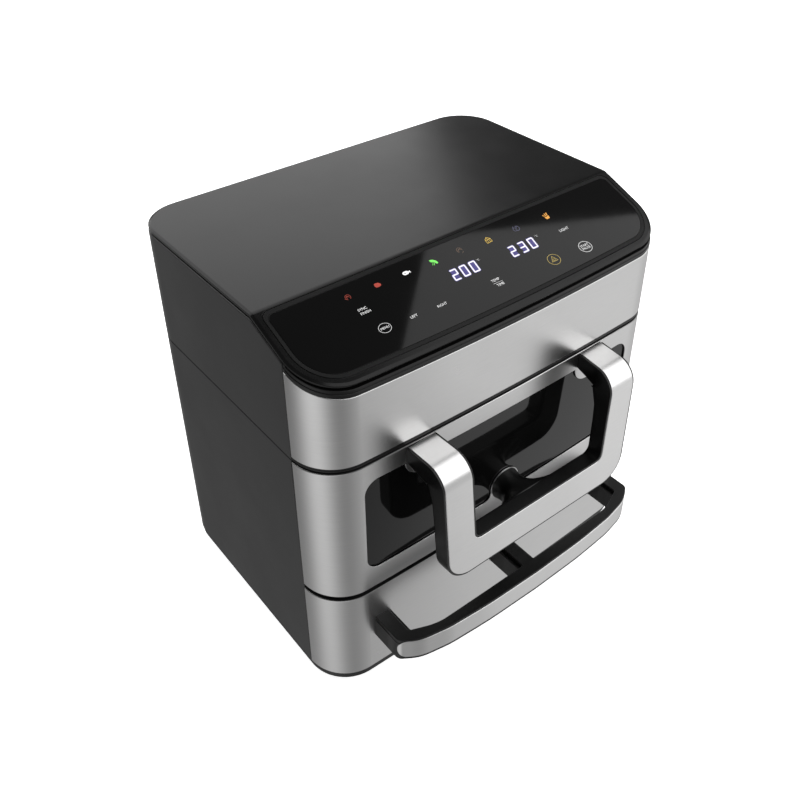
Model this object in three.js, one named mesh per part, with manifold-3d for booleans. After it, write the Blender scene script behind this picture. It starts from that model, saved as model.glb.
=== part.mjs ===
// Two-drawer air fryer: a steel-fronted housing, a windowed main drawer above and a plain drawer below.
// Millimetres, +Z up. The layout has x = y = 0 at the centre of the housing and z = 0 on the floor.
import * as THREE from 'three';
import { mergeVertices } from 'three/addons/utils/BufferGeometryUtils.js';
import Module from 'manifold-3d';

const wasm = await Module();
wasm.setup();

// ---------------------------------------------------------------- driving dimensions

const GAP = 0.35;                       // clearance between neighbouring pieces
const TUBE_SIDES = 6;

// Housing plan
const HALF_WIDTH = 200;
const BACK = 143.6;
const FRONT_APEX = -148.5;              // the front bows forward to here on the centre line
const FRONT_BOW_RADIUS = 4082;
const FRONT_CORNER_RADIUS = 42;
const BACK_CORNER_RADIUS = 41;
const SEAM_Y = -103.9;                  // steel front meets the side shells

// Housing heights
const FOOT_HEIGHT = 6;
const BASE_TOP = 13.4;
const TOP = 389;
const TOP_BEND_Y = -61.4;               // the flat top turns down into the sloped control panel
const PANEL_FALL = 0.397;               // drop per millimetre forwards
const SHELL_TOP_DROP = 5;               // side shells and front trim end this far under the top surface
const STEEL_TOP_DROP = 12;              // steel band ends this far under the top surface
const SHELL_PARTING = 271.4;
const SHELL_WALL = 3;
const STEEL = 1.2;

// Drawer fronts
const LOWER_STEEL = [14.5, 118.4];
const MAIN_STEEL = [124, 269.6];
const BAND_STEEL_BOTTOM = 275.3;
const FRAME_LIP = 0.7;                  // the black frames show this much beyond the steel, top and bottom
const DOOR_BACK = -112;                 // flat rear face of both drawer fronts

// Control panel
const COVER_THICKNESS = 3.2;
const FRAME_INSET = 6.8;
const GLASS_INSET = 10.5;
const FRAME_BACK_Y = -63.6;
const GLASS_BACK_Y = -67.4;
const GLASS_THICKNESS = 3;

// Window in the main drawer
const WINDOW_HALF = 159;
const WINDOW_Z = [147, 251];
const WINDOW_CORNER = 14;
const BUMP_RADIUS = 17.5;
const BUMP_Z = 158;
const BUMP_FILLET = 8;
const TAB_X = 101;
const TAB_RADIUS = 17;
const INNER_WINDOW = [-122, 122, 152, 236];

// Main handle
const HANDLE_ROOT_Y = -147.9;
const HANDLE_ROOT_TOP = 268.8;
const HANDLE_TOP = 266.4;
const HANDLE_FACE_TOP_Y = -191.5;
const HANDLE_FACE_BOTTOM_Y = -196.3;
const HANDLE_BOTTOM = 141.5;
const HANDLE_BAR_TOP = 174.5;
const HANDLE_BEND = 22;
const HANDLE_DEPTH = 17.5;
const TRIM_THICKNESS = 1.6;
const TRIM_MARGIN = 1.6;

// Lower handle
const LOOP_Z = [56, 82];
const LOOP_STRIP_Z = [58.3, 80];
const LOOP_STEP_Z = 77.5;

// Cavities, tubs and runners
const LINER_HALF = 178;
const LINER_BACK = 108;
const LINER_FRONT = -101;
const LINER_WALL = 0.6;
const LOWER_LINER_Z = [17.5, 119];
const MAIN_LINER_Z = [127, 306];
const TUB_HALF = 166;
const TUB_FRONT = DOOR_BACK + 0.4;
const TUB_BACK = 94;
const TUB_WALL = 1.2;
const RIM_WIDTH = 7.5;
const RIM_THICKNESS = 2;
const LEDGE_HEIGHT = 4;
const MAIN_TUB_Z = [133, 257];
const LOWER_TUB_Z = [23, 100];

// Hot air: the two fans, their motors and heaters
const FAN_X = 86;
const FAN_Y = 4;
const SHAFT_RADIUS = 4;
const FAN_Z = [286, 302];
const MOTOR_Z = [310.7, 342];

// The origin of the finished part is the bottom centre of its outer box
const LOOP_FACE_Y = -203;
const VENT_FACE_Y = BACK + 5;
const SHIFT_Y = -(LOOP_FACE_Y + VENT_FACE_Y) / 2;

// ---------------------------------------------------------------- materials

function material(color, roughness, metalness) {
  return new THREE.MeshStandardMaterial({ color, roughness, metalness });
}

const brushedSteel = () => material(0xb9b9b8, 0.32, 1);
const charcoalPlastic = () => material(0x3c3c3d, 0.5, 0);
const blackPlastic = () => material(0x161617, 0.38, 0);
const blackGlass = () => material(0x0a0a0b, 0.06, 0);
const coatedMetal = () => material(0x2a2a2b, 0.55, 0.4);
const zincSheet = () => material(0x8f9294, 0.45, 0.9);
const darkSteel = () => material(0x4a4744, 0.4, 0.9);
const rubber = () => material(0x1b1b1b, 0.85, 0);
const circuitBoard = () => material(0x1d5a34, 0.6, 0);
const whiteFibre = () => material(0xd9d5cb, 0.95, 0);

// ---------------------------------------------------------------- solids

function solid(geometry) {
  const plain = geometry.clone();
  plain.deleteAttribute('normal');
  plain.deleteAttribute('uv');
  const merged = mergeVertices(plain, 1e-4);
  const mesh = new wasm.Mesh({
    numProp: 3,
    vertProperties: new Float32Array(merged.attributes.position.array),
    triVerts: new Uint32Array(merged.index.array),
  });
  return new wasm.Manifold(mesh);
}

function geometryOf(manifold) {
  const { vertProperties, triVerts } = manifold.getMesh();
  const geometry = new THREE.BufferGeometry();
  geometry.setAttribute('position', new THREE.BufferAttribute(new Float32Array(vertProperties), 3));
  geometry.setIndex(new THREE.BufferAttribute(new Uint32Array(triVerts), 1));
  geometry.computeVertexNormals();
  return geometry;
}

const union = (...solids) => solids.reduce((whole, next) => whole.add(next));
const cut = (body, ...tools) => tools.reduce((rest, tool) => rest.subtract(tool), body);

// A polygon whose corners [x, y, radius] are rounded by true arcs.
function roundedPolygon(corners, degreesPerStep = 18) {
  const points = [];
  corners.forEach(([x, y, radius = 0], i) => {
    const here = new THREE.Vector2(x, y);
    if (radius === 0) {
      points.push(here);
      return;
    }
    const [px, py] = corners[(i + corners.length - 1) % corners.length];
    const [nx, ny] = corners[(i + 1) % corners.length];
    const toPrevious = new THREE.Vector2(px - x, py - y).normalize();
    const toNext = new THREE.Vector2(nx - x, ny - y).normalize();
    const halfAngle = Math.acos(THREE.MathUtils.clamp(toPrevious.dot(toNext), -1, 1)) / 2;
    const bisector = toPrevious.clone().add(toNext).normalize();
    const centre = here.clone().addScaledVector(bisector, radius / Math.sin(halfAngle));
    const start = here.clone().addScaledVector(toPrevious, radius / Math.tan(halfAngle)).sub(centre);
    const turn = Math.PI - 2 * halfAngle;
    const side = Math.sign(toNext.cross(toPrevious));
    const steps = Math.max(2, Math.ceil(THREE.MathUtils.radToDeg(turn) / degreesPerStep));
    for (let step = 0; step <= steps; step += 1) {
      const spoke = start.clone().rotateAround(new THREE.Vector2(), side * turn * step / steps);
      points.push(centre.clone().add(spoke));
    }
  });
  return new THREE.Shape(points);
}

const roundedRectangle = (x0, x1, y0, y1, radius) => roundedPolygon([
  [x0, y0, radius], [x1, y0, radius], [x1, y1, radius], [x0, y1, radius],
]);

function prismZ(shape, z0, z1) {
  const geometry = new THREE.ExtrudeGeometry(shape, { depth: z1 - z0, bevelEnabled: false });
  return solid(geometry.translate(0, 0, z0));
}

// The shape's axes are x and z; the prism runs from y0 to y1.
function prismY(shape, y0, y1) {
  const options = { depth: y1 - y0, bevelEnabled: false, curveSegments: 8 };
  const geometry = new THREE.ExtrudeGeometry(shape, options);
  return solid(geometry.rotateX(Math.PI / 2).translate(0, y1, 0));
}

// The shape's axes are y and z; the prism runs from x0 to x1.
function prismX(shape, x0, x1) {
  const geometry = new THREE.ExtrudeGeometry(shape, { depth: x1 - x0, bevelEnabled: false });
  const turn = new THREE.Matrix4().makeBasis(
    new THREE.Vector3(0, 1, 0), new THREE.Vector3(0, 0, 1), new THREE.Vector3(1, 0, 0),
  );
  return solid(geometry.applyMatrix4(turn).translate(x0, 0, 0));
}

function block(x0, x1, y0, y1, z0, z1) {
  const geometry = new THREE.BoxGeometry(x1 - x0, y1 - y0, z1 - z0);
  return solid(geometry.translate((x0 + x1) / 2, (y0 + y1) / 2, (z0 + z1) / 2));
}

function cylinderZ(x, y, radius, z0, z1, segments = 24) {
  const geometry = new THREE.CylinderGeometry(radius, radius, z1 - z0, segments);
  return solid(geometry.rotateX(Math.PI / 2).translate(x, y, (z0 + z1) / 2));
}

function cylinderY(x, z, radius, y0, y1, segments = 24) {
  const geometry = new THREE.CylinderGeometry(radius, radius, y1 - y0, segments);
  return solid(geometry.translate(x, (y0 + y1) / 2, z));
}

// Turned about a vertical axis; the profile is a list of [radius, height].
function turned(x, y, profile, segments = 24) {
  const points = profile.map(([radius, height]) => new THREE.Vector2(radius, height));
  const geometry = new THREE.LatheGeometry(points, segments);
  return solid(geometry.rotateX(Math.PI / 2).translate(x, y, 0));
}

// A round tube swept along a list of points.
function tube(points, radius, steps) {
  const path = new THREE.CatmullRomCurve3(points.map((point) => new THREE.Vector3(...point)));
  const circle = new THREE.Shape();
  circle.absarc(0, 0, radius, 0, Math.PI * 2, false);
  const geometry = new THREE.ExtrudeGeometry(circle, {
    steps, curveSegments: TUBE_SIDES / 2, extrudePath: path, bevelEnabled: false,
  });
  return solid(geometry);
}

// ---------------------------------------------------------------- shared housing shapes

// Plan of the housing moved inwards by inset: bowed front, rounded corners.
function housingPlan(inset, degreesPerStep = 10) {
  const bowCentreY = FRONT_APEX + FRONT_BOW_RADIUS;
  const frontX = HALF_WIDTH - FRONT_CORNER_RADIUS;
  const reach = FRONT_BOW_RADIUS - FRONT_CORNER_RADIUS;
  const frontY = bowCentreY - Math.sqrt(reach * reach - frontX * frontX);
  const lean = Math.asin(frontX / reach);
  const backX = HALF_WIDTH - BACK_CORNER_RADIUS;
  const backY = BACK - BACK_CORNER_RADIUS;
  const points = [];
  const arc = (cx, cy, radius, from, to, steps) => {
    for (let step = 0; step <= steps; step += 1) {
      const angle = from + (to - from) * step / steps;
      points.push(new THREE.Vector2(cx + radius * Math.cos(angle), cy + radius * Math.sin(angle)));
    }
  };
  const cornerSteps = Math.round(90 / degreesPerStep);
  const down = -Math.PI / 2;
  arc(0, bowCentreY, FRONT_BOW_RADIUS - inset, down - lean * 0.88, down + lean * 0.88, 6);
  arc(frontX, frontY, FRONT_CORNER_RADIUS - inset, down + lean, 0, cornerSteps);
  arc(backX, backY, BACK_CORNER_RADIUS - inset, 0, Math.PI / 2, cornerSteps);
  arc(-backX, backY, BACK_CORNER_RADIUS - inset, Math.PI / 2, Math.PI, cornerSteps);
  arc(-frontX, frontY, FRONT_CORNER_RADIUS - inset, Math.PI, Math.PI * 1.5 - lean, cornerSteps);
  return new THREE.Shape(points);
}

const housingBlock = (inset, z0, z1) => prismZ(housingPlan(inset), z0, z1);
function housingBand(outer, inner, z0, z1) {
  return cut(housingBlock(outer, z0, z1), housingBlock(inner, z0 - 1, z1 + 1));
}

const inFrontOf = (y) => block(-300, 300, -400, y, -50, 500);
const behind = (y) => block(-300, 300, y, 400, -50, 500);

// Everything lower than a surface that runs this far under the top and the sloped panel.
function underTop(drop) {
  const height = TOP - drop;
  const frontY = -260;
  const frontHeight = height - PANEL_FALL * (TOP_BEND_Y - frontY);
  return prismX(new THREE.Shape([
    new THREE.Vector2(frontY, -60),
    new THREE.Vector2(260, -60),
    new THREE.Vector2(260, height),
    new THREE.Vector2(TOP_BEND_Y, height),
    new THREE.Vector2(frontY, frontHeight),
  ]), -260, 260);
}

// ---------------------------------------------------------------- assembly bookkeeping

const root = new THREE.Group();
root.name = 'air_fryer';
root.position.set(0, SHIFT_Y, 0);

function place(name, manifold, look, parent = root) {
  const mesh = new THREE.Mesh(geometryOf(manifold), look);
  mesh.name = name;
  parent.add(mesh);
}

// ---------------------------------------------------------------- housing shells

function upperShell() {
  const wall = housingBand(0, SHELL_WALL, SHELL_PARTING + GAP, TOP).intersect(underTop(SHELL_TOP_DROP));
  const ventHole = prismY(roundedRectangle(-78, 78, 283, 345, 8), BACK - 6, BACK + 6);
  return cut(wall.intersect(behind(SEAM_Y)), ventHole);
}

function lowerShell() {
  const wall = housingBand(0, SHELL_WALL, BASE_TOP + GAP, SHELL_PARTING).intersect(behind(SEAM_Y));
  const inletHole = prismY(roundedRectangle(-150, -118, 32, 56, 3), BACK - 6, BACK + 6);
  return cut(wall, inletHole);
}

const panelOpening = (inset, backY, radius) => prismZ(housingPlan(inset), 250, 420)
  .intersect(prismZ(roundedPolygon([
    [-HALF_WIDTH + inset, -180], [HALF_WIDTH - inset, -180],
    [HALF_WIDTH - inset, backY, radius], [-HALF_WIDTH + inset, backY, radius],
  ]), 250, 420));

function topCover() {
  const plate = cut(underTop(0), underTop(COVER_THICKNESS)).intersect(housingBlock(0.6, 200, 420));
  const chamfer = cut(housingBlock(-5, 200, 420), housingBlock(3.4, 199, 421), underTop(1));
  const hanging = cut(underTop(COVER_THICKNESS - 0.5), underTop(14));
  const skirt = hanging.intersect(housingBand(5.2, 7.2, 200, 420));
  const opening = panelOpening(FRAME_INSET, FRAME_BACK_Y, 8);
  return cut(union(plate, skirt), chamfer, opening);
}

function panelFrame() {
  const outside = panelOpening(FRAME_INSET + 0.3, FRAME_BACK_Y - 0.3, 7.7);
  const ring = cut(outside, panelOpening(GLASS_INSET, GLASS_BACK_Y, 6));
  const ledge = cut(outside, panelOpening(GLASS_INSET + 3, GLASS_BACK_Y - 3, 4));
  const upper = cut(ring.intersect(underTop(0.2)), underTop(COVER_THICKNESS + 0.4));
  const lower = cut(ledge.intersect(underTop(COVER_THICKNESS + 0.3)), underTop(COVER_THICKNESS + 2.3));
  return union(upper, lower);
}

function controlGlass() {
  const plate = panelOpening(GLASS_INSET + 0.25, GLASS_BACK_Y - 0.25, 5.8).intersect(underTop(0.1));
  return cut(plate, underTop(GLASS_THICKNESS));
}

function touchBoard() {
  const plate = panelOpening(GLASS_INSET + 8, GLASS_BACK_Y - 8, 4).intersect(underTop(8));
  const board = cut(plate, underTop(9.6));
  const displays = [-16, 52].map((x) => {
    const column = block(x - 24, x + 24, -112, -88, 300, 420);
    return cut(column.intersect(underTop(3.6)), underTop(8.2));
  });
  return union(board, ...displays);
}

function upperFrontBand() {
  return housingBand(0, STEEL, BAND_STEEL_BOTTOM, TOP)
    .intersect(underTop(STEEL_TOP_DROP))
    .intersect(inFrontOf(SEAM_Y - GAP));
}

// Black carrier behind the steel band: its top shows as the trim under the control panel.
function upperFrontCarrier() {
  const backing = housingBand(STEEL + 0.3, STEEL + 3.5, BAND_STEEL_BOTTOM - FRAME_LIP - 0.6, TOP)
    .intersect(underTop(SHELL_TOP_DROP));
  const trim = cut(
    housingBand(0, STEEL + 1, 300, TOP).intersect(underTop(SHELL_TOP_DROP)),
    underTop(STEEL_TOP_DROP - 0.3),
  );
  const lip = housingBand(0.3, STEEL + 1, BAND_STEEL_BOTTOM - FRAME_LIP - 0.6, BAND_STEEL_BOTTOM - 0.3);
  return union(backing, trim, lip).intersect(inFrontOf(SEAM_Y - GAP));
}

function basePan() {
  const floor = housingBlock(1, FOOT_HEIGHT + 0.2, FOOT_HEIGHT + 3);
  const rim = housingBand(1, 4, FOOT_HEIGHT + 0.2, BASE_TOP);
  const footSockets = feetPositions.map(([x, y]) => cylinderZ(x, y, 4.2, 0, 12, 16));
  return cut(union(floor, rim), ...footSockets);
}

const feetPositions = [[-150, -96], [150, -96], [-150, 100], [150, 100]];

const foot = ([x, y]) => turned(x, y, [
  [0, 0], [13, 0], [14.5, 1.5], [14.5, FOOT_HEIGHT - 0.1], [3.9, FOOT_HEIGHT - 0.1],
  [3.9, 10.5], [0, 10.5],
], 18);

function rearVent() {
  const flange = prismY(roundedRectangle(-84, 84, 277, 351, 10), BACK + 0.3, VENT_FACE_Y);
  const tunnel = cut(
    prismY(roundedRectangle(-77, 77, 284, 344, 7), BACK - 9, BACK + 1),
    prismY(roundedRectangle(-75, 75, 286, 342, 5), BACK - 10, BACK + 0.5),
  );
  const slots = [];
  for (let row = 0; row < 7; row += 1) {
    const z = 290 + row * 7.6;
    slots.push(block(-70, -4, BACK - 1, BACK + 8, z, z + 4.2));
    slots.push(block(4, 70, BACK - 1, BACK + 8, z, z + 4.2));
  }
  return cut(union(flange, tunnel), ...slots);
}

function mainsInlet() {
  const flange = prismY(roundedRectangle(-153, -115, 29, 59, 4), BACK + 0.3, BACK + 2.3);
  const body = prismY(roundedRectangle(-149.6, -118.4, 32.4, 55.6, 3), BACK - 22, BACK + 1);
  const socket = prismY(roundedRectangle(-146, -122, 35, 53, 3), BACK - 16, BACK + 5);
  const pinPositions = [[-140, 41], [-128, 41], [-134, 47.5]];
  const pins = pinPositions.map(([x, z]) => block(x - 1, x + 1, BACK - 18, BACK - 4, z - 2, z + 2));
  return union(cut(union(flange, body), socket), ...pins);
}

// ---------------------------------------------------------------- inner structure

// Sheet steel box, open at the front. The drawer's rim slides on a pressed ledge along each side.
function liner([z0, z1], openTop, ledgeTop) {
  const outside = block(-LINER_HALF, LINER_HALF, LINER_FRONT, LINER_BACK, z0, z1);
  const inside = block(
    -LINER_HALF + LINER_WALL, LINER_HALF - LINER_WALL,
    LINER_FRONT + LINER_WALL, LINER_BACK - LINER_WALL, z0 + LINER_WALL, z1 - LINER_WALL,
  );
  const mouth = block(
    -LINER_HALF + LINER_WALL, LINER_HALF - LINER_WALL,
    LINER_FRONT - 1, LINER_FRONT + 5, z0 + LINER_WALL, openTop,
  );
  const ledges = [-1, 1].map((side) => {
    const reach = [side * (LINER_HALF - LINER_WALL / 2), side * (TUB_HALF + 2)].sort((a, b) => a - b);
    return block(reach[0], reach[1], -96, 100, ledgeTop - LEDGE_HEIGHT, ledgeTop);
  });
  return union(cut(outside, inside, mouth), ...ledges);
}

// Holes over each fan for its shaft and for the two legs of its heater.
const ceilingHoles = (z0, z1) => [-FAN_X, FAN_X].flatMap((fanX) => [
  cylinderZ(fanX, FAN_Y, SHAFT_RADIUS + 2, z0, z1),
  ...heaterLegs(fanX).map(([x, y]) => cylinderZ(x, y, 4.4, z0, z1, 10)),
]);

function mainLiner() {
  const exhaust = block(-60, 60, LINER_BACK - 3, LINER_BACK + 3, 284, 300);
  const box = liner(MAIN_LINER_Z, 270.5, MAIN_TUB_Z[1] - RIM_THICKNESS - 0.3);
  return cut(box, ...ceilingHoles(300, 310), exhaust);
}

function exhaustDuct() {
  const outside = block(-64, 64, LINER_BACK + GAP, BACK - 9.4, 281, 303.5);
  const inside = block(-62.8, 62.8, LINER_BACK - 1, BACK, 282.2, 302.3);
  return cut(outside, inside);
}

function insulationSheet() {
  const sheet = block(-170, 170, -92, 100, MAIN_LINER_Z[1] + 0.3, MAIN_LINER_Z[1] + 4.3);
  return cut(sheet, ...ceilingHoles(300, 320));
}

function middleDeck() {
  const deck = block(-194, 194, -98, 108, 121, 123.4);
  const ribs = [-150, -75, 0, 75, 150].map((x) => block(x - 2, x + 2, -90, 108, 123, 126.6));
  return union(deck, ...ribs);
}

const heaterLegs = (x) => [[x - 9, FAN_Y + 62], [x + 9, FAN_Y + 62]];

// One and a half flat turns of tube; both ends rise through the cavity ceiling.
function heater(x) {
  const [first, last] = heaterLegs(x);
  const points = [[first[0], first[1], 318], [first[0], first[1], 292], [first[0], first[1] - 6, 280]];
  const turns = 20;
  for (let step = 1; step < turns; step += 1) {
    const angle = Math.PI / 2 + (0.22 + (Math.PI * 2 - 0.44) * step / turns);
    points.push([x + 56 * Math.cos(angle), FAN_Y + 52 * Math.sin(angle), 278]);
  }
  points.push([last[0], last[1] - 6, 280], [last[0], last[1], 292], [last[0], last[1], 318]);
  return tube(points, 3.3, 40);
}

function heaterGuard() {
  const plate = block(-160, 160, -80, 88, 266.5, 267.5);
  const slots = [];
  [-FAN_X, FAN_X].forEach((x) => {
    for (let step = 0; step < 12; step += 1) {
      const spoke = block(18, 66, -4, 4, 260, 275).rotate([0, 0, step * 30]);
      slots.push(spoke.translate([x, FAN_Y, 0]));
    }
  });
  const tabs = block(-176.9, 176.9, -20, 20, 266.5, 267.5);
  return cut(union(plate, tabs), ...slots);
}

function fan(x) {
  const hub = cylinderZ(x, FAN_Y, 13, FAN_Z[0], FAN_Z[1], 20);
  const disc = cylinderZ(x, FAN_Y, 48, FAN_Z[1] - 1.5, FAN_Z[1], 24);
  const blades = [];
  for (let blade = 0; blade < 8; blade += 1) {
    const plate = block(10, 47, -0.8, 0.8, FAN_Z[0], FAN_Z[1] - 0.5).rotate([0, 0, blade * 45]);
    blades.push(plate.translate([x, FAN_Y, 0]));
  }
  return cut(union(hub, disc, ...blades), cylinderZ(x, FAN_Y, SHAFT_RADIUS + 0.05, 280, 310));
}

const motorShaft = (x) => turned(x, FAN_Y, [
  [0, FAN_Z[0] - 3], [7, FAN_Z[0] - 3], [7, FAN_Z[0] - 0.4], [SHAFT_RADIUS, FAN_Z[0] - 0.4],
  [SHAFT_RADIUS, MOTOR_Z[1] - 4], [0, MOTOR_Z[1] - 4],
], 24);

function motor(x) {
  const can = turned(x, FAN_Y, [
    [0, MOTOR_Z[0]], [36, MOTOR_Z[0]], [36, MOTOR_Z[0] + 2], [29, MOTOR_Z[0] + 2],
    [29, MOTOR_Z[1] - 3], [26, MOTOR_Z[1]], [0, MOTOR_Z[1]],
  ], 20);
  const bore = cylinderZ(x, FAN_Y, SHAFT_RADIUS + 2.6, MOTOR_Z[0] - 1, MOTOR_Z[1] - 3);
  const ears = [-1, 1].map((side) => {
    const earX = x + side * 40;
    return block(earX - 9, earX + 9, FAN_Y - 7, FAN_Y + 7, MOTOR_Z[0], MOTOR_Z[0] + 2);
  });
  const earHoles = [-1, 1].map((side) => cylinderZ(x + side * 43, FAN_Y, 2.1, 300, 330, 12));
  return cut(union(can, ...ears), bore, ...earHoles);
}

// Sleeve bearing pressed in the motor; the shaft turns in it with running clearance.
function bearing(x) {
  return cut(
    cylinderZ(x, FAN_Y, SHAFT_RADIUS + 2.5, MOTOR_Z[0] + 1, MOTOR_Z[0] + 13, 24),
    cylinderZ(x, FAN_Y, SHAFT_RADIUS + 0.06, MOTOR_Z[0], MOTOR_Z[0] + 14, 24),
  );
}

function boardTray() {
  const tray = cut(block(-120, 120, 38, 126, 348, 358), block(-118, 118, 40, 124, 350, 360));
  const legPositions = [[-112, 46], [112, 46], [-112, 92], [112, 92]];
  const legs = legPositions.map(([x, y]) => cylinderZ(x, y, 5, MAIN_LINER_Z[1] + 4.6, 348.5, 12));
  return union(tray, ...legs);
}

function powerBoard() {
  const board = block(-114, 114, 43, 121, 352, 353.6);
  const parts = [
    block(-100, -72, 55, 75, 353, 370), block(-60, -32, 55, 75, 353, 370),
    block(-100, -60, 88, 110, 353, 376), block(20, 52, 60, 100, 353, 378),
    cylinderZ(78, 70, 9, 353, 376, 16), cylinderZ(78, 98, 9, 353, 376, 16),
    block(-40, 0, 92, 104, 353, 362),
  ];
  const standoffs = [[-106, 82], [106, 82]].map(([x, y]) => cylinderZ(x, y, 3, 350.2, 352.5, 12));
  return union(board, ...parts, ...standoffs);
}

function serpentineHeater() {
  const points = [];
  const rows = 6;
  points.push([-150, 104, 107], [-150, 84, 107]);
  for (let row = 0; row < rows; row += 1) {
    const y = 76 - row * 30;
    const [from, to] = row % 2 === 0 ? [-145, 145] : [145, -145];
    points.push([from, y, 107], [0, y, 107], [to, y, 107], [to * 1.07, y - 15, 107]);
  }
  points.pop();
  return tube(points, 3.2, 72);
}

function lowerLiner() {
  return liner(LOWER_LINER_Z, LOWER_LINER_Z[1] - LINER_WALL, LOWER_TUB_Z[1] - RIM_THICKNESS - 0.3);
}

function drawerSwitch(z) {
  const body = block(186, 195, -99, -79, z, z + 14);
  const plunger = block(188, 193, -101.5, -98, z + 3, z + 8);
  return union(body, plunger);
}

// ---------------------------------------------------------------- main drawer

// Opening in the steel: a rounded rectangle with a round steel tab at each arm and a bump under the stem.
function windowShape() {
  const [z0, z1] = WINDOW_Z;
  const shape = new THREE.Shape();
  const half = WINDOW_HALF;
  const corner = WINDOW_CORNER;
  const bumpSide = BUMP_RADIUS + BUMP_FILLET;
  shape.moveTo(-half + corner, z0);
  shape.lineTo(-bumpSide, z0);
  shape.absarc(-bumpSide, z0 + BUMP_FILLET, BUMP_FILLET, -Math.PI / 2, 0, false);
  shape.absarc(0, BUMP_Z, BUMP_RADIUS, Math.PI, 0, true);
  shape.absarc(bumpSide, z0 + BUMP_FILLET, BUMP_FILLET, Math.PI, Math.PI * 1.5, false);
  shape.lineTo(half - corner, z0);
  shape.absarc(half - corner, z0 + corner, corner, -Math.PI / 2, 0, false);
  shape.absarc(half - corner, z1 - corner, corner, 0, Math.PI / 2, false);
  shape.lineTo(TAB_X + TAB_RADIUS, z1);
  shape.absarc(TAB_X, z1, TAB_RADIUS, 0, Math.PI, true);
  shape.lineTo(-TAB_X + TAB_RADIUS, z1);
  shape.absarc(-TAB_X, z1, TAB_RADIUS, 0, Math.PI, true);
  shape.lineTo(-half + corner, z1);
  shape.absarc(-half + corner, z1 - corner, corner, Math.PI / 2, Math.PI, false);
  shape.absarc(-half + corner, z0 + corner, corner, Math.PI, Math.PI * 1.5, false);
  return shape;
}

// Walls behind the steel that run back to the seam with the side shells.
function returnWalls([z0, z1]) {
  return housingBand(STEEL + 0.3, STEEL + 4, z0, z1).intersect(inFrontOf(SEAM_Y - GAP));
}

function steelFront([z0, z1]) {
  return housingBand(0, STEEL, z0, z1).intersect(inFrontOf(SEAM_Y - GAP));
}

function mainFrontPanel() {
  return cut(steelFront(MAIN_STEEL), prismY(windowShape(), -180, -120), ...handleScrewHoles(2.6));
}

// Slab of a drawer front behind its steel, flat at the back, with a thin lip above and below the steel.
function frontSlab([z0, z1]) {
  const body = housingBlock(STEEL + 0.3, z0 - FRAME_LIP, z1 + FRAME_LIP);
  const topLip = housingBlock(0.4, z1 + 0.3, z1 + FRAME_LIP);
  const bottomLip = housingBlock(0.4, z0 - FRAME_LIP, z0 - 0.3);
  return union(body, topLip, bottomLip);
}

// Window in the inner door, grown outwards by grow.
const innerWindow = (grow, radius) => roundedRectangle(
  INNER_WINDOW[0] - grow, INNER_WINDOW[1] + grow, INNER_WINDOW[2] - grow, INNER_WINDOW[3] + grow, radius,
);

const GLASS_HALF = WINDOW_HALF + 6;
const GLASS_Z = [WINDOW_Z[0] - 6, WINDOW_Z[1] + 6];

function mainFrontFrame() {
  const slab = frontSlab(MAIN_STEEL).intersect(inFrontOf(DOOR_BACK - 2.3));
  const glassPocket = cut(
    prismY(roundedRectangle(-GLASS_HALF, GLASS_HALF, GLASS_Z[0], GLASS_Z[1], 17), -180, -120),
    housingBlock(STEEL + 5.2, 100, 300),
  );
  const wellShape = roundedRectangle(
    -WINDOW_HALF + 4, WINDOW_HALF - 4, WINDOW_Z[0] + 4, WINDOW_Z[1] - 4, 11,
  );
  const well = prismY(wellShape, -180, -100);
  const innerPocket = prismY(innerWindow(9.4, 16), -119.9, -100);
  const holes = [...handleScrewHoles(2.4), ...screwHeadHoles()];
  return cut(union(slab, returnWalls(MAIN_STEEL)), glassPocket, well, innerPocket, ...holes);
}

function windowGlass() {
  const area = prismY(roundedRectangle(
    -GLASS_HALF + 0.3, GLASS_HALF - 0.3, GLASS_Z[0] + 0.3, GLASS_Z[1] - 0.3, 16.7,
  ), -180, -120);
  return cut(housingBand(STEEL + 0.5, STEEL + 4, 100, 300).intersect(area), ...handleScrewHoles(2.6));
}

function windowSeal() {
  return cut(prismY(innerWindow(9, 16), -119.6, -117.4), prismY(innerWindow(0, 12), -125, -110));
}

const innerGlass = () => prismY(innerWindow(8, 15), -117.1, -114.3);

// Sheet steel inner door; the tub hangs on it.
function innerDoor() {
  const outline = roundedRectangle(-170, 170, MAIN_STEEL[0] + 3, MAIN_STEEL[1] - 3, 10);
  return cut(prismY(outline, DOOR_BACK - 2, DOOR_BACK), prismY(innerWindow(0, 12), -125, -100));
}

function tub([z0, z1], front, back) {
  const shell = cut(
    prismZ(roundedRectangle(-TUB_HALF, TUB_HALF, front, back, 16), z0, z1),
    prismZ(roundedRectangle(
      -TUB_HALF + TUB_WALL, TUB_HALF - TUB_WALL, front + TUB_WALL, back - TUB_WALL, 15,
    ), z0 + TUB_WALL, z1 + 1),
  );
  const rimHalf = TUB_HALF + RIM_WIDTH;
  const rim = cut(
    prismZ(roundedRectangle(-rimHalf, rimHalf, front + 14, back - 2, 4), z1 - RIM_THICKNESS, z1),
    prismZ(roundedRectangle(-TUB_HALF + 0.4, TUB_HALF - 0.4, front - 20, back + 20, 1), z1 - 3, z1 + 1),
  );
  return union(shell, rim);
}

function mainTub() {
  return cut(tub(MAIN_TUB_Z, TUB_FRONT, TUB_BACK), prismY(innerWindow(0, 12), -125, -100));
}

function divider() {
  const floor = MAIN_TUB_Z[0] + TUB_WALL + 0.4;
  const plate = block(-1.5, 1.5, TUB_FRONT + TUB_WALL + 0.6, TUB_BACK - TUB_WALL - 0.6, floor, 246);
  const foot = block(-4, 4, TUB_FRONT + TUB_WALL + 8, TUB_BACK - TUB_WALL - 8, floor, 138);
  const grip = prismX(roundedPolygon([[-26, 244], [8, 244], [4, 253, 4], [-22, 253, 4]]), -3, 3);
  return union(plate, foot, grip);
}

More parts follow.
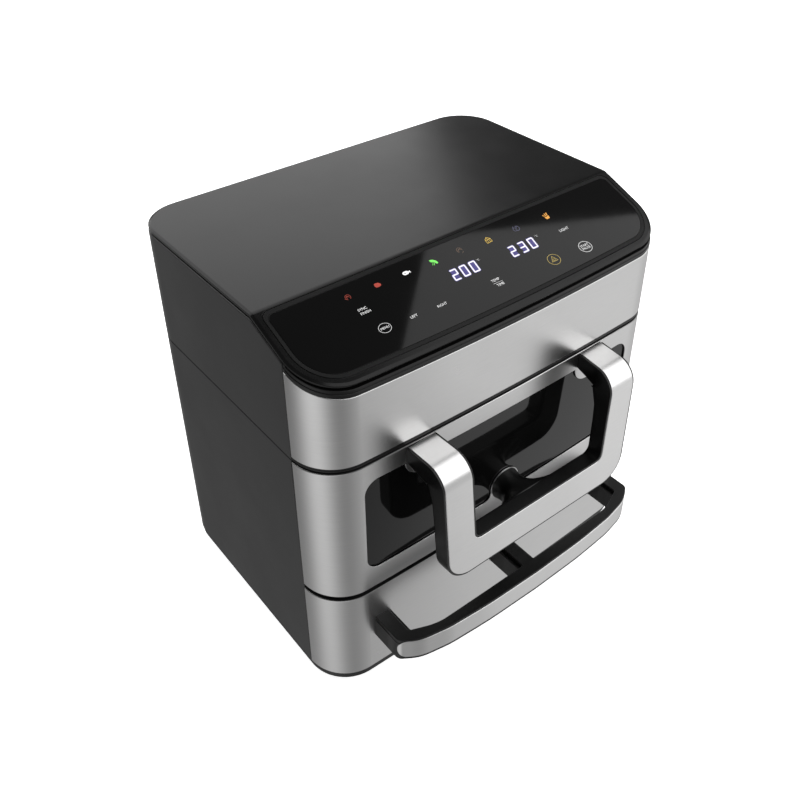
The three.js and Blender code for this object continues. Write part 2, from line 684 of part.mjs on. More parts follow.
// Perforated plate on short legs.
function crisper(x0, x1, z, columns) {
  const [y0, y1] = [TUB_FRONT + 4, TUB_BACK - 4];
  const plate = prismZ(roundedRectangle(x0, x1, y0, y1, 12), z, z + 1.6);
  const rows = 4;
  const slots = [];
  for (let row = 0; row < rows; row += 1) {
    for (let column = 0; column < columns; column += 1) {
      const x = x0 + (x1 - x0) * (column + 0.5) / columns;
      const y = y0 + (y1 - y0) * (row + 0.5) / rows;
      const angle = (row + column) % 2 === 0 ? 45 : -45;
      slots.push(block(-9, 9, -2.2, 2.2, z - 3, z + 4).rotate([0, 0, angle]).translate([x, y, 0]));
    }
  }
  const legX = [x0 + 20, x1 - 20];
  const legs = legX.flatMap((x) => [y0 + 20, y1 - 20].map((y) => cylinderZ(x, y, 4, z - 12, z + 0.5, 12)));
  return cut(union(plate, ...legs), ...slots);
}

// ---------------------------------------------------------------- main handle

// Front view of the handle: two arms converging slightly on a bar, grown outwards by grow.
function handleShape(grow) {
  const innerCorner = Math.max(2, 9 - grow);
  return roundedPolygon([
    [-115.8 - grow, 272], [-108.2 - grow, HANDLE_BOTTOM - grow, 25 + grow],
    [108.2 + grow, HANDLE_BOTTOM - grow, 25 + grow], [115.8 + grow, 272],
    [87.6 - grow, 272], [80.2 - grow, HANDLE_BAR_TOP + grow, innerCorner],
    [-80.2 + grow, HANDLE_BAR_TOP + grow, innerCorner], [-87.6 + grow, 272],
  ], 10);
}

// Side view of an L-shaped sheet that follows the handle's outer face, between two depths under that face.
function handleSide(depth0, depth1) {
  const bend = (depth) => Math.max(4, HANDLE_BEND - depth);
  const corner = (depth) => [HANDLE_FACE_TOP_Y + depth, HANDLE_TOP - depth, bend(depth)];
  return roundedPolygon([
    [HANDLE_ROOT_Y, HANDLE_ROOT_TOP - depth1], [HANDLE_ROOT_Y, HANDLE_ROOT_TOP - depth0],
    corner(depth0), [HANDLE_FACE_BOTTOM_Y + depth0, HANDLE_BOTTOM - 8],
    [HANDLE_FACE_BOTTOM_Y + depth1, HANDLE_BOTTOM - 8], corner(depth1),
  ], 9);
}

function handleTrim() {
  return prismX(handleSide(0, TRIM_THICKNESS), -140, 140).intersect(prismY(handleShape(0), -230, -100));
}

// Round stem from the bar back to the steel bump, flared at the bar.
function handleStem() {
  const profile = [];
  const waist = 13;
  const length = 30;
  profile.push([0, 0], [BUMP_RADIUS - 1, 0], [BUMP_RADIUS - 1, 1.5]);
  for (let step = 0; step <= 7; step += 1) {
    const along = step / 7;
    profile.push([waist + 3 * (1 - along) ** 3 + 22 * along ** 4, 1.6 + (length - 1.6) * along]);
  }
  profile.push([0, length]);
  const points = profile.map(([radius, height]) => new THREE.Vector2(radius, height));
  const geometry = new THREE.LatheGeometry(points, 24);
  const flare = solid(geometry.rotateX(Math.PI).translate(0, HANDLE_ROOT_Y - 0.5, BUMP_Z));
  const barHeight = block(-60, 60, -240, 0, HANDLE_BOTTOM - TRIM_MARGIN, HANDLE_BAR_TOP + TRIM_MARGIN);
  return flare.intersect(barHeight);
}

function handleCore() {
  const outline = prismY(handleShape(TRIM_MARGIN), -230, -100);
  const arms = prismX(handleSide(TRIM_THICKNESS + 0.3, HANDLE_DEPTH), -140, 140).intersect(outline);
  const outside = housingBlock(-0.4, 100, 300);
  const pilots = handleScrewPositions.map(([x, z]) => cylinderY(x, z, 1.9, -166, -140, 8));
  return cut(union(arms, handleStem()), outside, ...pilots);
}

const handleScrewPositions = [[-TAB_X, 258], [TAB_X, 258]];

const holesAlongY = (positions, radius, y0) => (
  positions.map(([x, z]) => cylinderY(x, z, radius, y0, -100, 10))
);
const handleScrewHoles = (radius) => holesAlongY(handleScrewPositions, radius, -170);
const screwHeadHoles = () => holesAlongY(handleScrewPositions, 5, -132);

function handleScrew([x, z]) {
  return union(cylinderY(x, z, 1.8, -160, -131, 8), cylinderY(x, z, 4.2, -131.8, -128.4, 10));
}

// ---------------------------------------------------------------- lower drawer

function lowerFrontFrame() {
  const slab = frontSlab(LOWER_STEEL).intersect(inFrontOf(DOOR_BACK));
  const pockets = [[-132, -5], [5, 132]].map(([x0, x1]) => block(x0, x1, -160, DOOR_BACK + 1, 30, 94)
    .intersect(housingBlock(STEEL + 4, 0, 200)));
  const holes = [...loopScrewHoles(2.4), ...loopHeadHoles()];
  return cut(union(slab, returnWalls(LOWER_STEEL)), ...pockets, ...holes);
}

const loopScrewPositions = [[-144, 69], [144, 69]];
const loopScrewHoles = (radius) => holesAlongY(loopScrewPositions, radius, -170);
const loopHeadHoles = () => holesAlongY(loopScrewPositions, 5, -130);

const lowerFrontPanel = () => cut(steelFront(LOWER_STEEL), ...loopScrewHoles(2.6));

function loopScrew([x, z]) {
  return union(cylinderY(x, z, 1.8, -158, -129, 8), cylinderY(x, z, 4.2, -129.8, -126.4, 10));
}

// Plan of the horizontal loop handle, grown outwards by grow.
const loopPlan = (grow) => roundedPolygon([
  [-153.2 - grow, -100], [-153.2 - grow, -180.7, 10 + grow], [-112 - grow * 0.5, -199.6 - grow, 60],
  [0, -202.9 - grow], [112 + grow * 0.5, -199.6 - grow, 60], [153.2 + grow, -180.7, 10 + grow],
  [153.2 + grow, -100],
], 8);

const loopGap = (side, x0, x1, frontY) => roundedPolygon([
  [side * x0, -100], [side * x0, frontY - 0.8, 3], [side * (x1 - 26), frontY, 24],
  [side * x1, frontY + 9.5, 7], [side * x1, -100],
], 15);

function orientedPrismZ(shape, z0, z1) {
  const points = shape.getPoints();
  const ordered = THREE.ShapeUtils.isClockWise(points) ? points.slice().reverse() : points;
  return prismZ(new THREE.Shape(ordered), z0, z1);
}

// Front view of the steel strip with its round ends, grown outwards by grow.
const stripShape = (grow) => roundedRectangle(
  -152.9 - grow, 152.9 + grow, LOOP_STRIP_Z[0] - grow, LOOP_STRIP_Z[1] + grow, 10 + grow,
);

function lowerHandleCore() {
  const body = prismZ(loopPlan(-0.5), LOOP_Z[0], LOOP_Z[1]);
  const seat = cut(
    prismZ(loopPlan(2), LOOP_STRIP_Z[0] - 0.3, LOOP_STRIP_Z[1] + 0.3),
    prismZ(loopPlan(-1.9), 0, 200),
  ).intersect(prismY(stripShape(0.3), -240, -165));
  const gaps = [-1, 1].flatMap((side) => [
    orientedPrismZ(loopGap(side, 6.8, 138.6, -188.6), LOOP_STEP_Z, 120),
    orientedPrismZ(loopGap(side, 10.6, 134.8, -188.1), 0, LOOP_STEP_Z + 1),
  ]);
  const pilots = loopScrewPositions.map(([x, z]) => cylinderY(x, z, 1.9, -166, -120, 8));
  return cut(body, seat, ...gaps, housingBlock(-0.4, 0, 200), ...pilots);
}

function lowerHandleTrim() {
  const sheet = cut(
    prismZ(loopPlan(0), LOOP_STRIP_Z[0], LOOP_STRIP_Z[1]),
    prismZ(loopPlan(-1.6), 0, 200),
  );
  return sheet.intersect(prismY(stripShape(0), -240, -165));
}

// ---------------------------------------------------------------- assembly

place('upper_shell', upperShell(), charcoalPlastic());
place('lower_shell', lowerShell(), charcoalPlastic());
place('top_cover', topCover(), blackPlastic());
place('panel_frame', panelFrame(), blackPlastic());
place('control_glass', controlGlass(), blackGlass());
place('touch_board', touchBoard(), circuitBoard());
place('upper_front_band', upperFrontBand(), brushedSteel());
place('upper_front_carrier', upperFrontCarrier(), blackPlastic());
place('base_pan', basePan(), blackPlastic());
place('rear_vent', rearVent(), blackPlastic());
place('mains_inlet', mainsInlet(), blackPlastic());
const footNames = ['foot_front_left', 'foot_front_right', 'foot_back_left', 'foot_back_right'];
footNames.forEach((name, i) => place(name, foot(feetPositions[i]), rubber()));

place('main_liner', mainLiner(), zincSheet());
place('lower_liner', lowerLiner(), zincSheet());
place('middle_deck', middleDeck(), blackPlastic());
place('exhaust_duct', exhaustDuct(), zincSheet());
place('insulation_sheet', insulationSheet(), whiteFibre());
place('heater_guard', heaterGuard(), zincSheet());
place('heater_lower', serpentineHeater(), darkSteel());
place('board_tray', boardTray(), blackPlastic());
place('power_board', powerBoard(), circuitBoard());
place('switch_main', drawerSwitch(190), blackPlastic());
place('switch_lower', drawerSwitch(60), blackPlastic());
[['left', -1], ['right', 1]].forEach(([word, side]) => {
  const x = side * FAN_X;
  place(`heater_${word}`, heater(x), darkSteel());
  place(`fan_${word}`, fan(x), zincSheet());
  place(`fan_shaft_${word}`, motorShaft(x), darkSteel());
  place(`motor_${word}`, motor(x), zincSheet());
  place(`bearing_${word}`, bearing(x), material(0xa8793c, 0.4, 0.9));
});

const mainDrawer = new THREE.Group();
mainDrawer.name = 'main_drawer';
root.add(mainDrawer);
place('main_front_panel', mainFrontPanel(), brushedSteel(), mainDrawer);
place('main_front_frame', mainFrontFrame(), blackPlastic(), mainDrawer);
place('window_glass', windowGlass(), blackGlass(), mainDrawer);
place('window_seal', windowSeal(), rubber(), mainDrawer);
place('inner_glass', innerGlass(), blackGlass(), mainDrawer);
place('inner_door', innerDoor(), zincSheet(), mainDrawer);
place('main_tub', mainTub(), coatedMetal(), mainDrawer);
place('divider', divider(), coatedMetal(), mainDrawer);
place('crisper_left', crisper(-161, -6, 150, 4), coatedMetal(), mainDrawer);
place('crisper_right', crisper(6, 161, 150, 4), coatedMetal(), mainDrawer);
place('main_handle_core', handleCore(), blackPlastic(), mainDrawer);
place('main_handle_trim', handleTrim(), brushedSteel(), mainDrawer);
const handleScrewNames = ['handle_screw_left', 'handle_screw_right'];
handleScrewNames.forEach((name, i) => {
  place(name, handleScrew(handleScrewPositions[i]), zincSheet(), mainDrawer);
});

const lowerDrawer = new THREE.Group();
lowerDrawer.name = 'lower_drawer';
root.add(lowerDrawer);
place('lower_front_panel', lowerFrontPanel(), brushedSteel(), lowerDrawer);
place('lower_front_frame', lowerFrontFrame(), blackPlastic(), lowerDrawer);
place('lower_tub', tub(LOWER_TUB_Z, TUB_FRONT, TUB_BACK), coatedMetal(), lowerDrawer);
place('lower_crisper', crisper(-160, 160, 39, 6), coatedMetal(), lowerDrawer);
place('lower_handle_core', lowerHandleCore(), blackPlastic(), lowerDrawer);
place('lower_handle_trim', lowerHandleTrim(), brushedSteel(), lowerDrawer);
const loopScrewNames = ['loop_screw_left', 'loop_screw_right'];
loopScrewNames.forEach((name, i) => {
  place(name, loopScrew(loopScrewPositions[i]), zincSheet(), lowerDrawer);
});

export default root;
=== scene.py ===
import math
from bisect import bisect_right

import bmesh
import bpy
from mathutils import Matrix, Quaternion, Vector


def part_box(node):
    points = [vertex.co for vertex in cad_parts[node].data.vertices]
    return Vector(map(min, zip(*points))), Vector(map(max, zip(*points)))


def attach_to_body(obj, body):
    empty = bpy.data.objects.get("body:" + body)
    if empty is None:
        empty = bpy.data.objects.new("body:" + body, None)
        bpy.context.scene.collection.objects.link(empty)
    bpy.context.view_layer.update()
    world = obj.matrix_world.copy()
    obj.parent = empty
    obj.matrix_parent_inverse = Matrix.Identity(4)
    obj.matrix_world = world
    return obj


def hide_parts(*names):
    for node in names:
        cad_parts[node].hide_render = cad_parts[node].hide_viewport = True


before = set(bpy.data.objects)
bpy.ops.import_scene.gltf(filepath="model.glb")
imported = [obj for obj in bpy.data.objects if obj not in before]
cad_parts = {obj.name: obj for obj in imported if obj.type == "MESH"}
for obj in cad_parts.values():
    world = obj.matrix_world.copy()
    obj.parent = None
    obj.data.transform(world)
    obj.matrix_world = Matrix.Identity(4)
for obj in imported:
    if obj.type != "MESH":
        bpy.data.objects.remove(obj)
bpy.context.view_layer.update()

MM = 0.001


def box_mm(node):
    low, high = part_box(node)
    return low / MM, high / MM


# ---- driving sizes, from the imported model

shell_low, shell_high = box_mm("lower_shell")
upper_shell_low, _ = box_mm("upper_shell")
_, cover_high = box_mm("top_cover")
band_low, _ = box_mm("upper_front_band")
main_low, main_high = box_mm("main_front_panel")
lower_low, lower_high = box_mm("lower_front_panel")
trim_low, trim_high = box_mm("main_handle_trim")
strip_low, strip_high = box_mm("lower_handle_trim")
loop_low, loop_high = box_mm("lower_handle_core")
vent_low, vent_high = box_mm("rear_vent")
base_low, base_high = box_mm("base_pan")
_, glass_high = box_mm("control_glass")
_, bezel_high = box_mm("panel_frame")

HALF_WIDTH = shell_high.x
BACK = shell_high.y
FRONT = main_low.y
FRONT_BOW = 4082.0
FRONT_CORNER = 42.0
BACK_CORNER = 41.0
TOP = cover_high.z
PANEL_FALL = 0.397  # drop of the control panel per millimetre forwards
BEND_Y = -34.2  # the flat top turns down here
BEND_RADIUS = 10.0
GROOVE_DROP = 5.0  # shell and trim end this far under the top surface
STEEL_DROP = 12.0  # the upper steel band ends this far under it
STEEL = 1.2
STEEL_EDGE = 0.7  # rounding of the folded edges of the steel
SHELL = 3.0
COVER = 3.0
GAP = 0.45


# ---- outlines

def turned(vector, angle):
    cosine, sine = math.cos(angle), math.sin(angle)
    return Vector((vector.x * cosine - vector.y * sine, vector.x * sine + vector.y * cosine))


def even_steps(start, end, step):
    count = max(2, math.ceil(abs(end - start) / step))
    return [start + (end - start) * i / count for i in range(count + 1)]


def arc(x, y, radius, start, end, step=3.0):
    """Samples (x, y, normal x, normal y) of an arc between two angles in degrees, with normals outwards."""
    angles = map(math.radians, even_steps(start, end, step))
    return [(x + radius * math.cos(a), y + radius * math.sin(a), math.cos(a), math.sin(a)) for a in angles]


def corner_arc(before, here, after, radius, step):
    """The arc that rounds one corner, as samples whose normals point to the right of the way along it."""
    incoming = (here - before).normalized()
    outgoing = (after - here).normalized()
    turn = incoming.angle_signed(outgoing, 0.0)
    turn = -turn  # mathutils counts clockwise turns as positive
    right = Vector((incoming.y, -incoming.x))
    if radius <= 0 or abs(turn) < 1e-4:
        return [(*here, *right)]
    start = here - incoming * radius * math.tan(abs(turn) / 2)
    inside = -1 if turn > 0 else 1
    centre = start + right * radius * inside
    count = max(2, math.ceil(math.degrees(abs(turn)) / step))
    samples = []
    for i in range(count + 1):
        normal = turned(right, turn * i / count)
        samples.append((*(centre - normal * radius * inside), *normal))
    return samples


def rounded(corners, step=6.0):
    """Closed outline through corners (x, y, radius)."""
    points = []
    for i, (x, y, radius) in enumerate(corners):
        before = Vector(corners[i - 1][:2])
        after = Vector(corners[(i + 1) % len(corners)][:2])
        points += [sample[:2] for sample in corner_arc(before, Vector((x, y)), after, radius, step)]
    return points


def mirrored(corners):
    return [(-x, y, radius) for x, y, radius in reversed(corners)]


def rectangle(x0, x1, y0, y1, radius, step=10.0):
    return rounded([(x0, y0, radius), (x1, y0, radius), (x1, y1, radius), (x0, y1, radius)], step)


def circle(x, y, radius, step=12.0):
    return [sample[:2] for sample in arc(x, y, radius, 0, 360, step)[:-1]]


class Path:
    """A line in a plane with outward normals, measured by its length."""

    def __init__(self, samples):
        self.samples = samples
        self.lengths = [0.0]
        for a, b in zip(samples, samples[1:]):
            self.lengths.append(self.lengths[-1] + math.dist(a[:2], b[:2]))
        self.length = self.lengths[-1]

    def at(self, distance):
        i = min(max(bisect_right(self.lengths, distance) - 1, 0), len(self.samples) - 2)
        while self.lengths[i + 1] == self.lengths[i] and i > 0:
            i -= 1
        a, b = self.samples[i], self.samples[i + 1]
        t = (distance - self.lengths[i]) / (self.lengths[i + 1] - self.lengths[i])
        blend = max(0.0, min(1.0, t))
        point = [p + (q - p) * t for p, q in zip(a[:2], b[:2])]
        normal = Vector([p + (q - p) * blend for p, q in zip(a[2:], b[2:])]).normalized()
        return point[0], point[1], normal.x, normal.y

    def bends(self, spacing):
        """Places to slice a plate that is laid along the path: every sample, and every so often between."""
        places = []
        for a, b in zip(self.lengths, self.lengths[1:]):
            count = max(1, math.ceil((b - a) / spacing))
            places += [a + (b - a) * i / count for i in range(count)]
        return places + [self.length]


def open_path(corners, step=4.0):
    """A line through corners (x, y, radius), with its normals on the right of the way along it."""
    points = [Vector(corner[:2]) for corner in corners]
    samples = []
    for i, point in enumerate(points):
        if i == 0 or i == len(points) - 1:
            along = points[1] - points[0] if i == 0 else points[i] - points[i - 1]
            along.normalize()
            samples.append((*point, along.y, -along.x))
        else:
            samples += corner_arc(points[i - 1], point, points[i + 1], corners[i][2], step)
    return Path(samples)


def housing_half():
    """Right half of the housing's plan, from the middle of the front round to the middle of the back."""
    bow_y = FRONT + FRONT_BOW
    front_x = HALF_WIDTH - FRONT_CORNER
    reach = FRONT_BOW - FRONT_CORNER
    lean = math.degrees(math.asin(front_x / reach))
    front_y = bow_y - math.sqrt(reach * reach - front_x * front_x)
    back_x = HALF_WIDTH - BACK_CORNER
    samples = arc(0, bow_y, FRONT_BOW, -90, -90 + lean, 0.14)
    samples += arc(front_x, front_y, FRONT_CORNER, -90 + lean, 0)
    samples += arc(back_x, BACK - BACK_CORNER, BACK_CORNER, 0, 90)
    return Path(samples + [(0, BACK, 0, 1)])


HOUSING = housing_half()
HALF_ROUND = HOUSING.length


def wall(s):
    """Point and outward normal of the housing wall, s millimetres round it from the middle of the front."""
    if s < 0:
        x, y, nx, ny = wall(-s)
        return -x, y, -nx, ny
    if s > HALF_ROUND:
        x, y, nx, ny = HOUSING.at(2 * HALF_ROUND - s)
        return -x, y, -nx, ny
    return HOUSING.at(s)


def wall_reaching(test):
    """How far round the housing, from the middle of the front, a point first passes the test."""
    near, far = next((a, b) for a, b in zip(HOUSING.lengths, HOUSING.lengths[1:]) if test(HOUSING.at(b)))
    for _ in range(40):
        middle = (near + far) / 2
        if test(HOUSING.at(middle)):
            far = middle
        else:
            near = middle
    return far


STEEL_END = wall_reaching(lambda p: p[1] >= main_high.y)
SHELL_START = wall_reaching(lambda p: p[1] >= shell_low.y)


def across(x):
    """Distance round the front at which the wall is x millimetres to the side."""
    return math.copysign(wall_reaching(lambda p: p[0] >= abs(x)), x) if x else 0.0


def housing_loop(inset):
    """The housing's whole plan, moved inwards."""
    places = HOUSING.bends(12)
    places = places + [2 * HALF_ROUND - s for s in reversed(places[1:-1])]
    return [(x - nx * inset, y - ny * inset) for x, y, nx, ny in map(wall, places)]


def panel_loop(inset, back_y, radius):
    """Plan of the control panel opening: the front wall moved inwards, closed by a straight back edge."""
    side = HALF_WIDTH - inset
    end = wall_reaching(lambda p: p[1] >= back_y - radius)
    places = [s for s in HOUSING.bends(12) if s < end]
    right = [(x - nx * inset, y - ny * inset) for x, y, nx, ny in map(wall, places)]
    corner = [p[:2] for p in arc(side - radius, back_y - radius, radius, 0, 90, 6)]
    half = right + corner
    return half + [(-x, y) for x, y in reversed(half[1:])]


# ---- the top surface

SLOPE = math.atan(PANEL_FALL)
BEND_START = BEND_Y + BEND_RADIUS * math.tan(SLOPE / 2)


def top_surface(y):
    """Height of the top at y and its angle of slope there."""
    forward = BEND_START - y
    if forward <= 0:
        return TOP, 0.0
    if forward < BEND_RADIUS * math.sin(SLOPE):
        angle = math.asin(forward / BEND_RADIUS)
        return TOP - BEND_RADIUS * (1 - math.cos(angle)), angle
    return TOP - PANEL_FALL * (BEND_Y - y), SLOPE


def top_bends():
    return [BEND_START - BEND_RADIUS * math.sin(SLOPE * i / 8) for i in range(9)]


# ---- places: from flat plates to the object

X, Y, Z = Vector((1, 0, 0)), Vector((0, 1, 0)), Vector((0, 0, 1))


def upright(line_at):
    """Upright plates that follow a line in plan. line_at(u) gives its point and outward normal."""
    def place(u, v, depth):
        x, y, nx, ny = line_at(u)
        return Vector((x - nx * depth, y - ny * depth, v)), Vector((-ny, nx, 0)), Z, Vector((-nx, -ny, 0))
    return place


round_wall = upright(wall)


def on_top(u, v, depth):
    height, angle = top_surface(v)
    normal = Vector((0, -math.sin(angle), math.cos(angle)))
    along = Vector((0, math.cos(angle), math.sin(angle)))
    return Vector((u, v, height)) - normal * depth, X, along, -normal


def down_from(z):
    """Plates seen in plan, with their depth downwards from z."""
    return lambda u, v, depth: (Vector((u, v, z - depth)), X, Y, -Z)


def forward_of(y):
    """Plates seen from the back of the object, with their depth forwards from y."""
    return lambda u, v, depth: (Vector((-u, y - depth, v)), -X, Z, -Y)


# ---- plates

def rim(points, step=15.0):
    """Edge section of a plate, from its front face round to its back face, through (inset, depth, radius).
    Each sample is (inset, depth, normal along the inset, normal along the depth)."""
    return [(x, y, -nx, -ny) for x, y, nx, ny in open_path(points, step).samples]


def edge(front, back, bevel=0.4, back_bevel=None, inset=0.0):
    """Plain rim between two depths with rounded edges."""
    back_bevel = bevel if back_bevel is None else back_bevel
    reach = max(bevel, back_bevel) + 0.05 + inset
    return rim([(reach, front, 0), (inset, front, bevel), (inset, back, back_bevel), (reach, back, 0)])


def without_repeats(points):
    kept = []
    for point in points:
        if not kept or math.dist(point, kept[-1]) > 1e-3:
            kept.append(point)
    if math.dist(kept[0], kept[-1]) <= 1e-3:
        kept.pop()
    return kept


def inward_directions(points):
    """Unit direction into the material at each point of a loop, and how much a mitre stretches it."""
    count = len(points)
    normals = []
    for i in range(count):
        a, b = points[i], points[(i + 1) % count]
        along = Vector((b[0] - a[0], b[1] - a[1])).normalized()
        normals.append(Vector((-along.y, along.x)))
    result = []
    for i in range(count):
        inward = (normals[i - 1] + normals[i]).normalized()
        result.append((inward, 1 / max(0.5, inward.dot(normals[i]))))
    return result


def plate(*loops):
    """Closed solid in flat coordinates (u, v, depth): an outline and holes, each a pair (points, rim)."""
    bm = bmesh.new()
    flat_normal = bm.verts.layers.float_vector.new("flat_normal")
    front, back = [], []
    for index, (outline, section) in enumerate(loops):
        points = without_repeats(outline)
        area = sum(a[0] * b[1] - a[1] * b[0] for a, b in zip(points, points[1:] + points[:1]))
        if (area > 0) != (index == 0):
            points.reverse()
        directions = inward_directions(points)
        rings = []
        for inset, depth, along_inset, along_depth in section:
            ring = []
            for (x, y), (inward, stretch) in zip(points, directions):
                shift = inward * inset * stretch
                vert = bm.verts.new((x + shift.x, y + shift.y, depth))
                vert[flat_normal] = (inward.x * along_inset, inward.y * along_inset, along_depth)
                ring.append(vert)
            rings.append(ring)
        for outer, inner in zip(rings, rings[1:]):
            for i in range(len(points)):
                j = (i + 1) % len(points)
                bm.faces.new((outer[i], outer[j], inner[j], inner[i]))
        for ring, edges in ((rings[0], front), (rings[-1], back)):
            edges += [bm.edges.get((ring[i], ring[(i + 1) % len(ring)])) for i in range(len(ring))]
    for edges, facing in ((front, -Z), (back, Z)):
        bmesh.ops.triangle_fill(bm, use_beauty=True, use_dissolve=False, edges=edges, normal=facing)
    return bm


def sliced(bm, places, axis=X):
    """Cuts a flat plate across at each place, so that it can bend there."""
    low = min(vert.co.dot(axis) for vert in bm.verts)
    high = max(vert.co.dot(axis) for vert in bm.verts)
    for place in places:
        if low + 1e-3 < place < high - 1e-3:
            geometry = bm.verts[:] + bm.edges[:] + bm.faces[:]
            bmesh.ops.bisect_plane(bm, geom=geometry, dist=1e-5, plane_co=axis * place, plane_no=axis)
    return bm


def wall_plate(*loops):
    """A plate sliced for bending round the housing. Its first coordinate is the distance round it."""
    places = HOUSING.bends(10)
    places = places + [2 * HALF_ROUND - s for s in places]
    return sliced(plate(*loops), sorted(set(places + [-s for s in places])))


def top_plate(*loops):
    """A plate sliced where the top turns down to the control panel."""
    return sliced(plate(*loops), top_bends(), Y)


def mesh_object(name, points, faces, normals=None):
    mesh = bpy.data.meshes.new(name)
    mesh.from_pydata([point * MM for point in points], [], faces)
    mesh.update()
    mesh.polygons.foreach_set("use_smooth", [True] * len(mesh.polygons))
    if normals:
        mesh.normals_split_custom_set_from_vertices(normals)
    obj = bpy.data.objects.new(name, mesh)
    bpy.context.scene.collection.objects.link(obj)
    return obj


def attach(obj, material, body, replaced=()):
    obj.data.materials.clear()
    obj.data.materials.append(material)
    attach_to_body(obj, body)
    if replaced:
        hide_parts(*replaced)
    return obj


def laid(plates):
    """Joins placed plates, given as (plate, place), into lists of points, faces and normals."""
    points, faces, normals = [], [], []
    for bm, place in plates:
        flat_normal = bm.verts.layers.float_vector["flat_normal"]
        start = len(points)
        bm.verts.index_update()
        for vert in bm.verts:
            point, *axes = place(*vert.co)
            n = vert[flat_normal]
            points.append(point)
            normals.append((axes[0] * n[0] + axes[1] * n[1] + axes[2] * n[2]).normalized())
        for face in bm.faces:
            corners = [start + vert.index for vert in face.verts]
            a, b, c = (points[i] for i in corners[:3])
            facing = sum((normals[i] for i in corners), Vector())
            if (b - a).cross(c - b).dot(facing) < 0:
                corners.reverse()
            faces.append(corners)
        bm.free()
    return points, faces, normals


def piece(name, plates, material, body, replaced=()):
    return attach(mesh_object(name, *laid(plates)), material, body, replaced)


def loft(name, rings, material, body, replaced=()):
    """Smooth closed solid through rings of points."""
    count = len(rings[0])
    points = [point for ring in rings for point in ring]
    faces = [list(range(count))[::-1], [len(points) - count + i for i in range(count)]]
    for r in range(len(rings) - 1):
        for i in range(count):
            j = (i + 1) % count
            faces.append([r * count + i, r * count + j, (r + 1) * count + j, (r + 1) * count + i])
    obj = mesh_object(name, points, faces)
    bm = bmesh.new()
    bm.from_mesh(obj.data)
    bmesh.ops.recalc_face_normals(bm, faces=bm.faces[:])
    bm.to_mesh(obj.data)
    bm.free()
    return attach(obj, material, body, replaced)


# ---- materials

def add_node(tree, kind, *inputs, **settings):
    """Adds a shader node. Inputs are pairs of a socket and its value or another node's output."""
    node = tree.nodes.new("ShaderNode" + kind)
    for name, value in settings.items():
        setattr(node, name, value)
    for socket, value in inputs:
        if isinstance(value, bpy.types.NodeSocket):
            tree.links.new(value, node.inputs[socket])
        else:
            node.inputs[socket].default_value = value
    return node


class Finish:
    """Small helper that wires one procedural material."""

    def __init__(self, name):
        self.material = bpy.data.materials.new(name)
        self.material.use_nodes = True
        self.tree = self.material.node_tree
        self.shader = self.tree.nodes["Principled BSDF"]
        self.coordinates = add_node(self.tree, "TexCoord").outputs["Object"]

    def put(self, socket, value):
        self.shader.inputs[socket].default_value = value
        return self

    def link(self, output, socket):
        self.tree.links.new(output, self.shader.inputs[socket])

    def noise(self, scale, detail=3.0, stretch=(1, 1, 1), roughness=0.55):
        place = add_node(self.tree, "Mapping", ("Vector", self.coordinates), ("Scale", stretch)).outputs[0]
        return add_node(self.tree, "TexNoise", ("Vector", place), ("Scale", scale), ("Detail", detail),
                        ("Roughness", roughness)).outputs["Fac"]

    def ramp(self, value, low, high, start=0.3, end=0.7):
        node = add_node(self.tree, "ValToRGB", ("Fac", value))
        for stop, position, colour in zip(node.color_ramp.elements, (start, end), (low, high)):
            stop.position = position
            stop.color = (*colour, 1)
        return node.outputs["Color"]

    def colour(self, value, low, high, start=0.3, end=0.7):
        self.link(self.ramp(value, low, high, start, end), "Base Color")

    def gloss(self, value, low, high):
        limits = ("From Min", 0.3), ("From Max", 0.7), ("To Min", low), ("To Max", high)
        self.link(add_node(self.tree, "MapRange", ("Value", value), *limits).outputs["Result"], "Roughness")

    def bump(self, value, height):
        """Raises the surface by up to a height in metres."""
        node = add_node(self.tree, "Bump", ("Strength", 1.0), ("Distance", height), ("Height", value))
        self.link(node.outputs["Normal"], "Normal")


def grey(value, tint=0.0):
    return value * (1 + tint), value, value * (1 - tint)


def satin_steel(name, stretch, low, high):
    finish = Finish(name).put("Metallic", 1.0).put("Anisotropic", 0.25)
    grain = finish.noise(1400, 4, stretch, 0.7)
    finish.colour(grain, grey(low, 0.004), grey(high, 0.004), 0.25, 0.75)
    finish.gloss(finish.noise(9, 2), 0.27, 0.33)
    finish.bump(grain, 0.0000015)
    return finish.material


def moulded(name, low, high, roughness, grain_height, grain_scale=1500, ior=1.46):
    finish = Finish(name).put("IOR", ior)
    cloud = finish.noise(14, 3)
    finish.colour(cloud, low, high)
    finish.gloss(cloud, roughness - 0.03, roughness + 0.04)
    finish.bump(finish.noise(grain_scale, 3), grain_height)
    return finish.material


def gloss_glass(name, low, high, ior=1.33):
    finish = Finish(name).put("IOR", ior)
    finish.colour(finish.noise(6, 2), low, high)
    finish.gloss(finish.noise(18, 3), 0.03, 0.055)
    finish.bump(finish.noise(3, 1), 0.00002)
    return finish.material


def sheet_metal(name, low, high, roughness, spangle=90):
    finish = Finish(name).put("Metallic", 0.95)
    finish.colour(finish.noise(spangle, 2), low, high)
    finish.gloss(finish.noise(40, 3), roughness - 0.06, roughness + 0.08)
    finish.bump(finish.noise(700, 2), 0.00001)
    return finish.material


def lit(name, colour, spread=0.12):
    """Light shining through printed marks; slightly uneven as lamps behind a mask are."""
    finish = Finish(name).put("Roughness", 0.4).put("Emission Strength", 1.0)
    lamps = finish.noise(260, 1)
    unlit_low, unlit_high, dim = (tuple(c * share for c in colour) for share in (0.25, 0.3, 1 - spread))
    finish.colour(lamps, unlit_low, unlit_high)
    finish.link(finish.ramp(lamps, dim, colour), "Emission Color")
    return finish.material


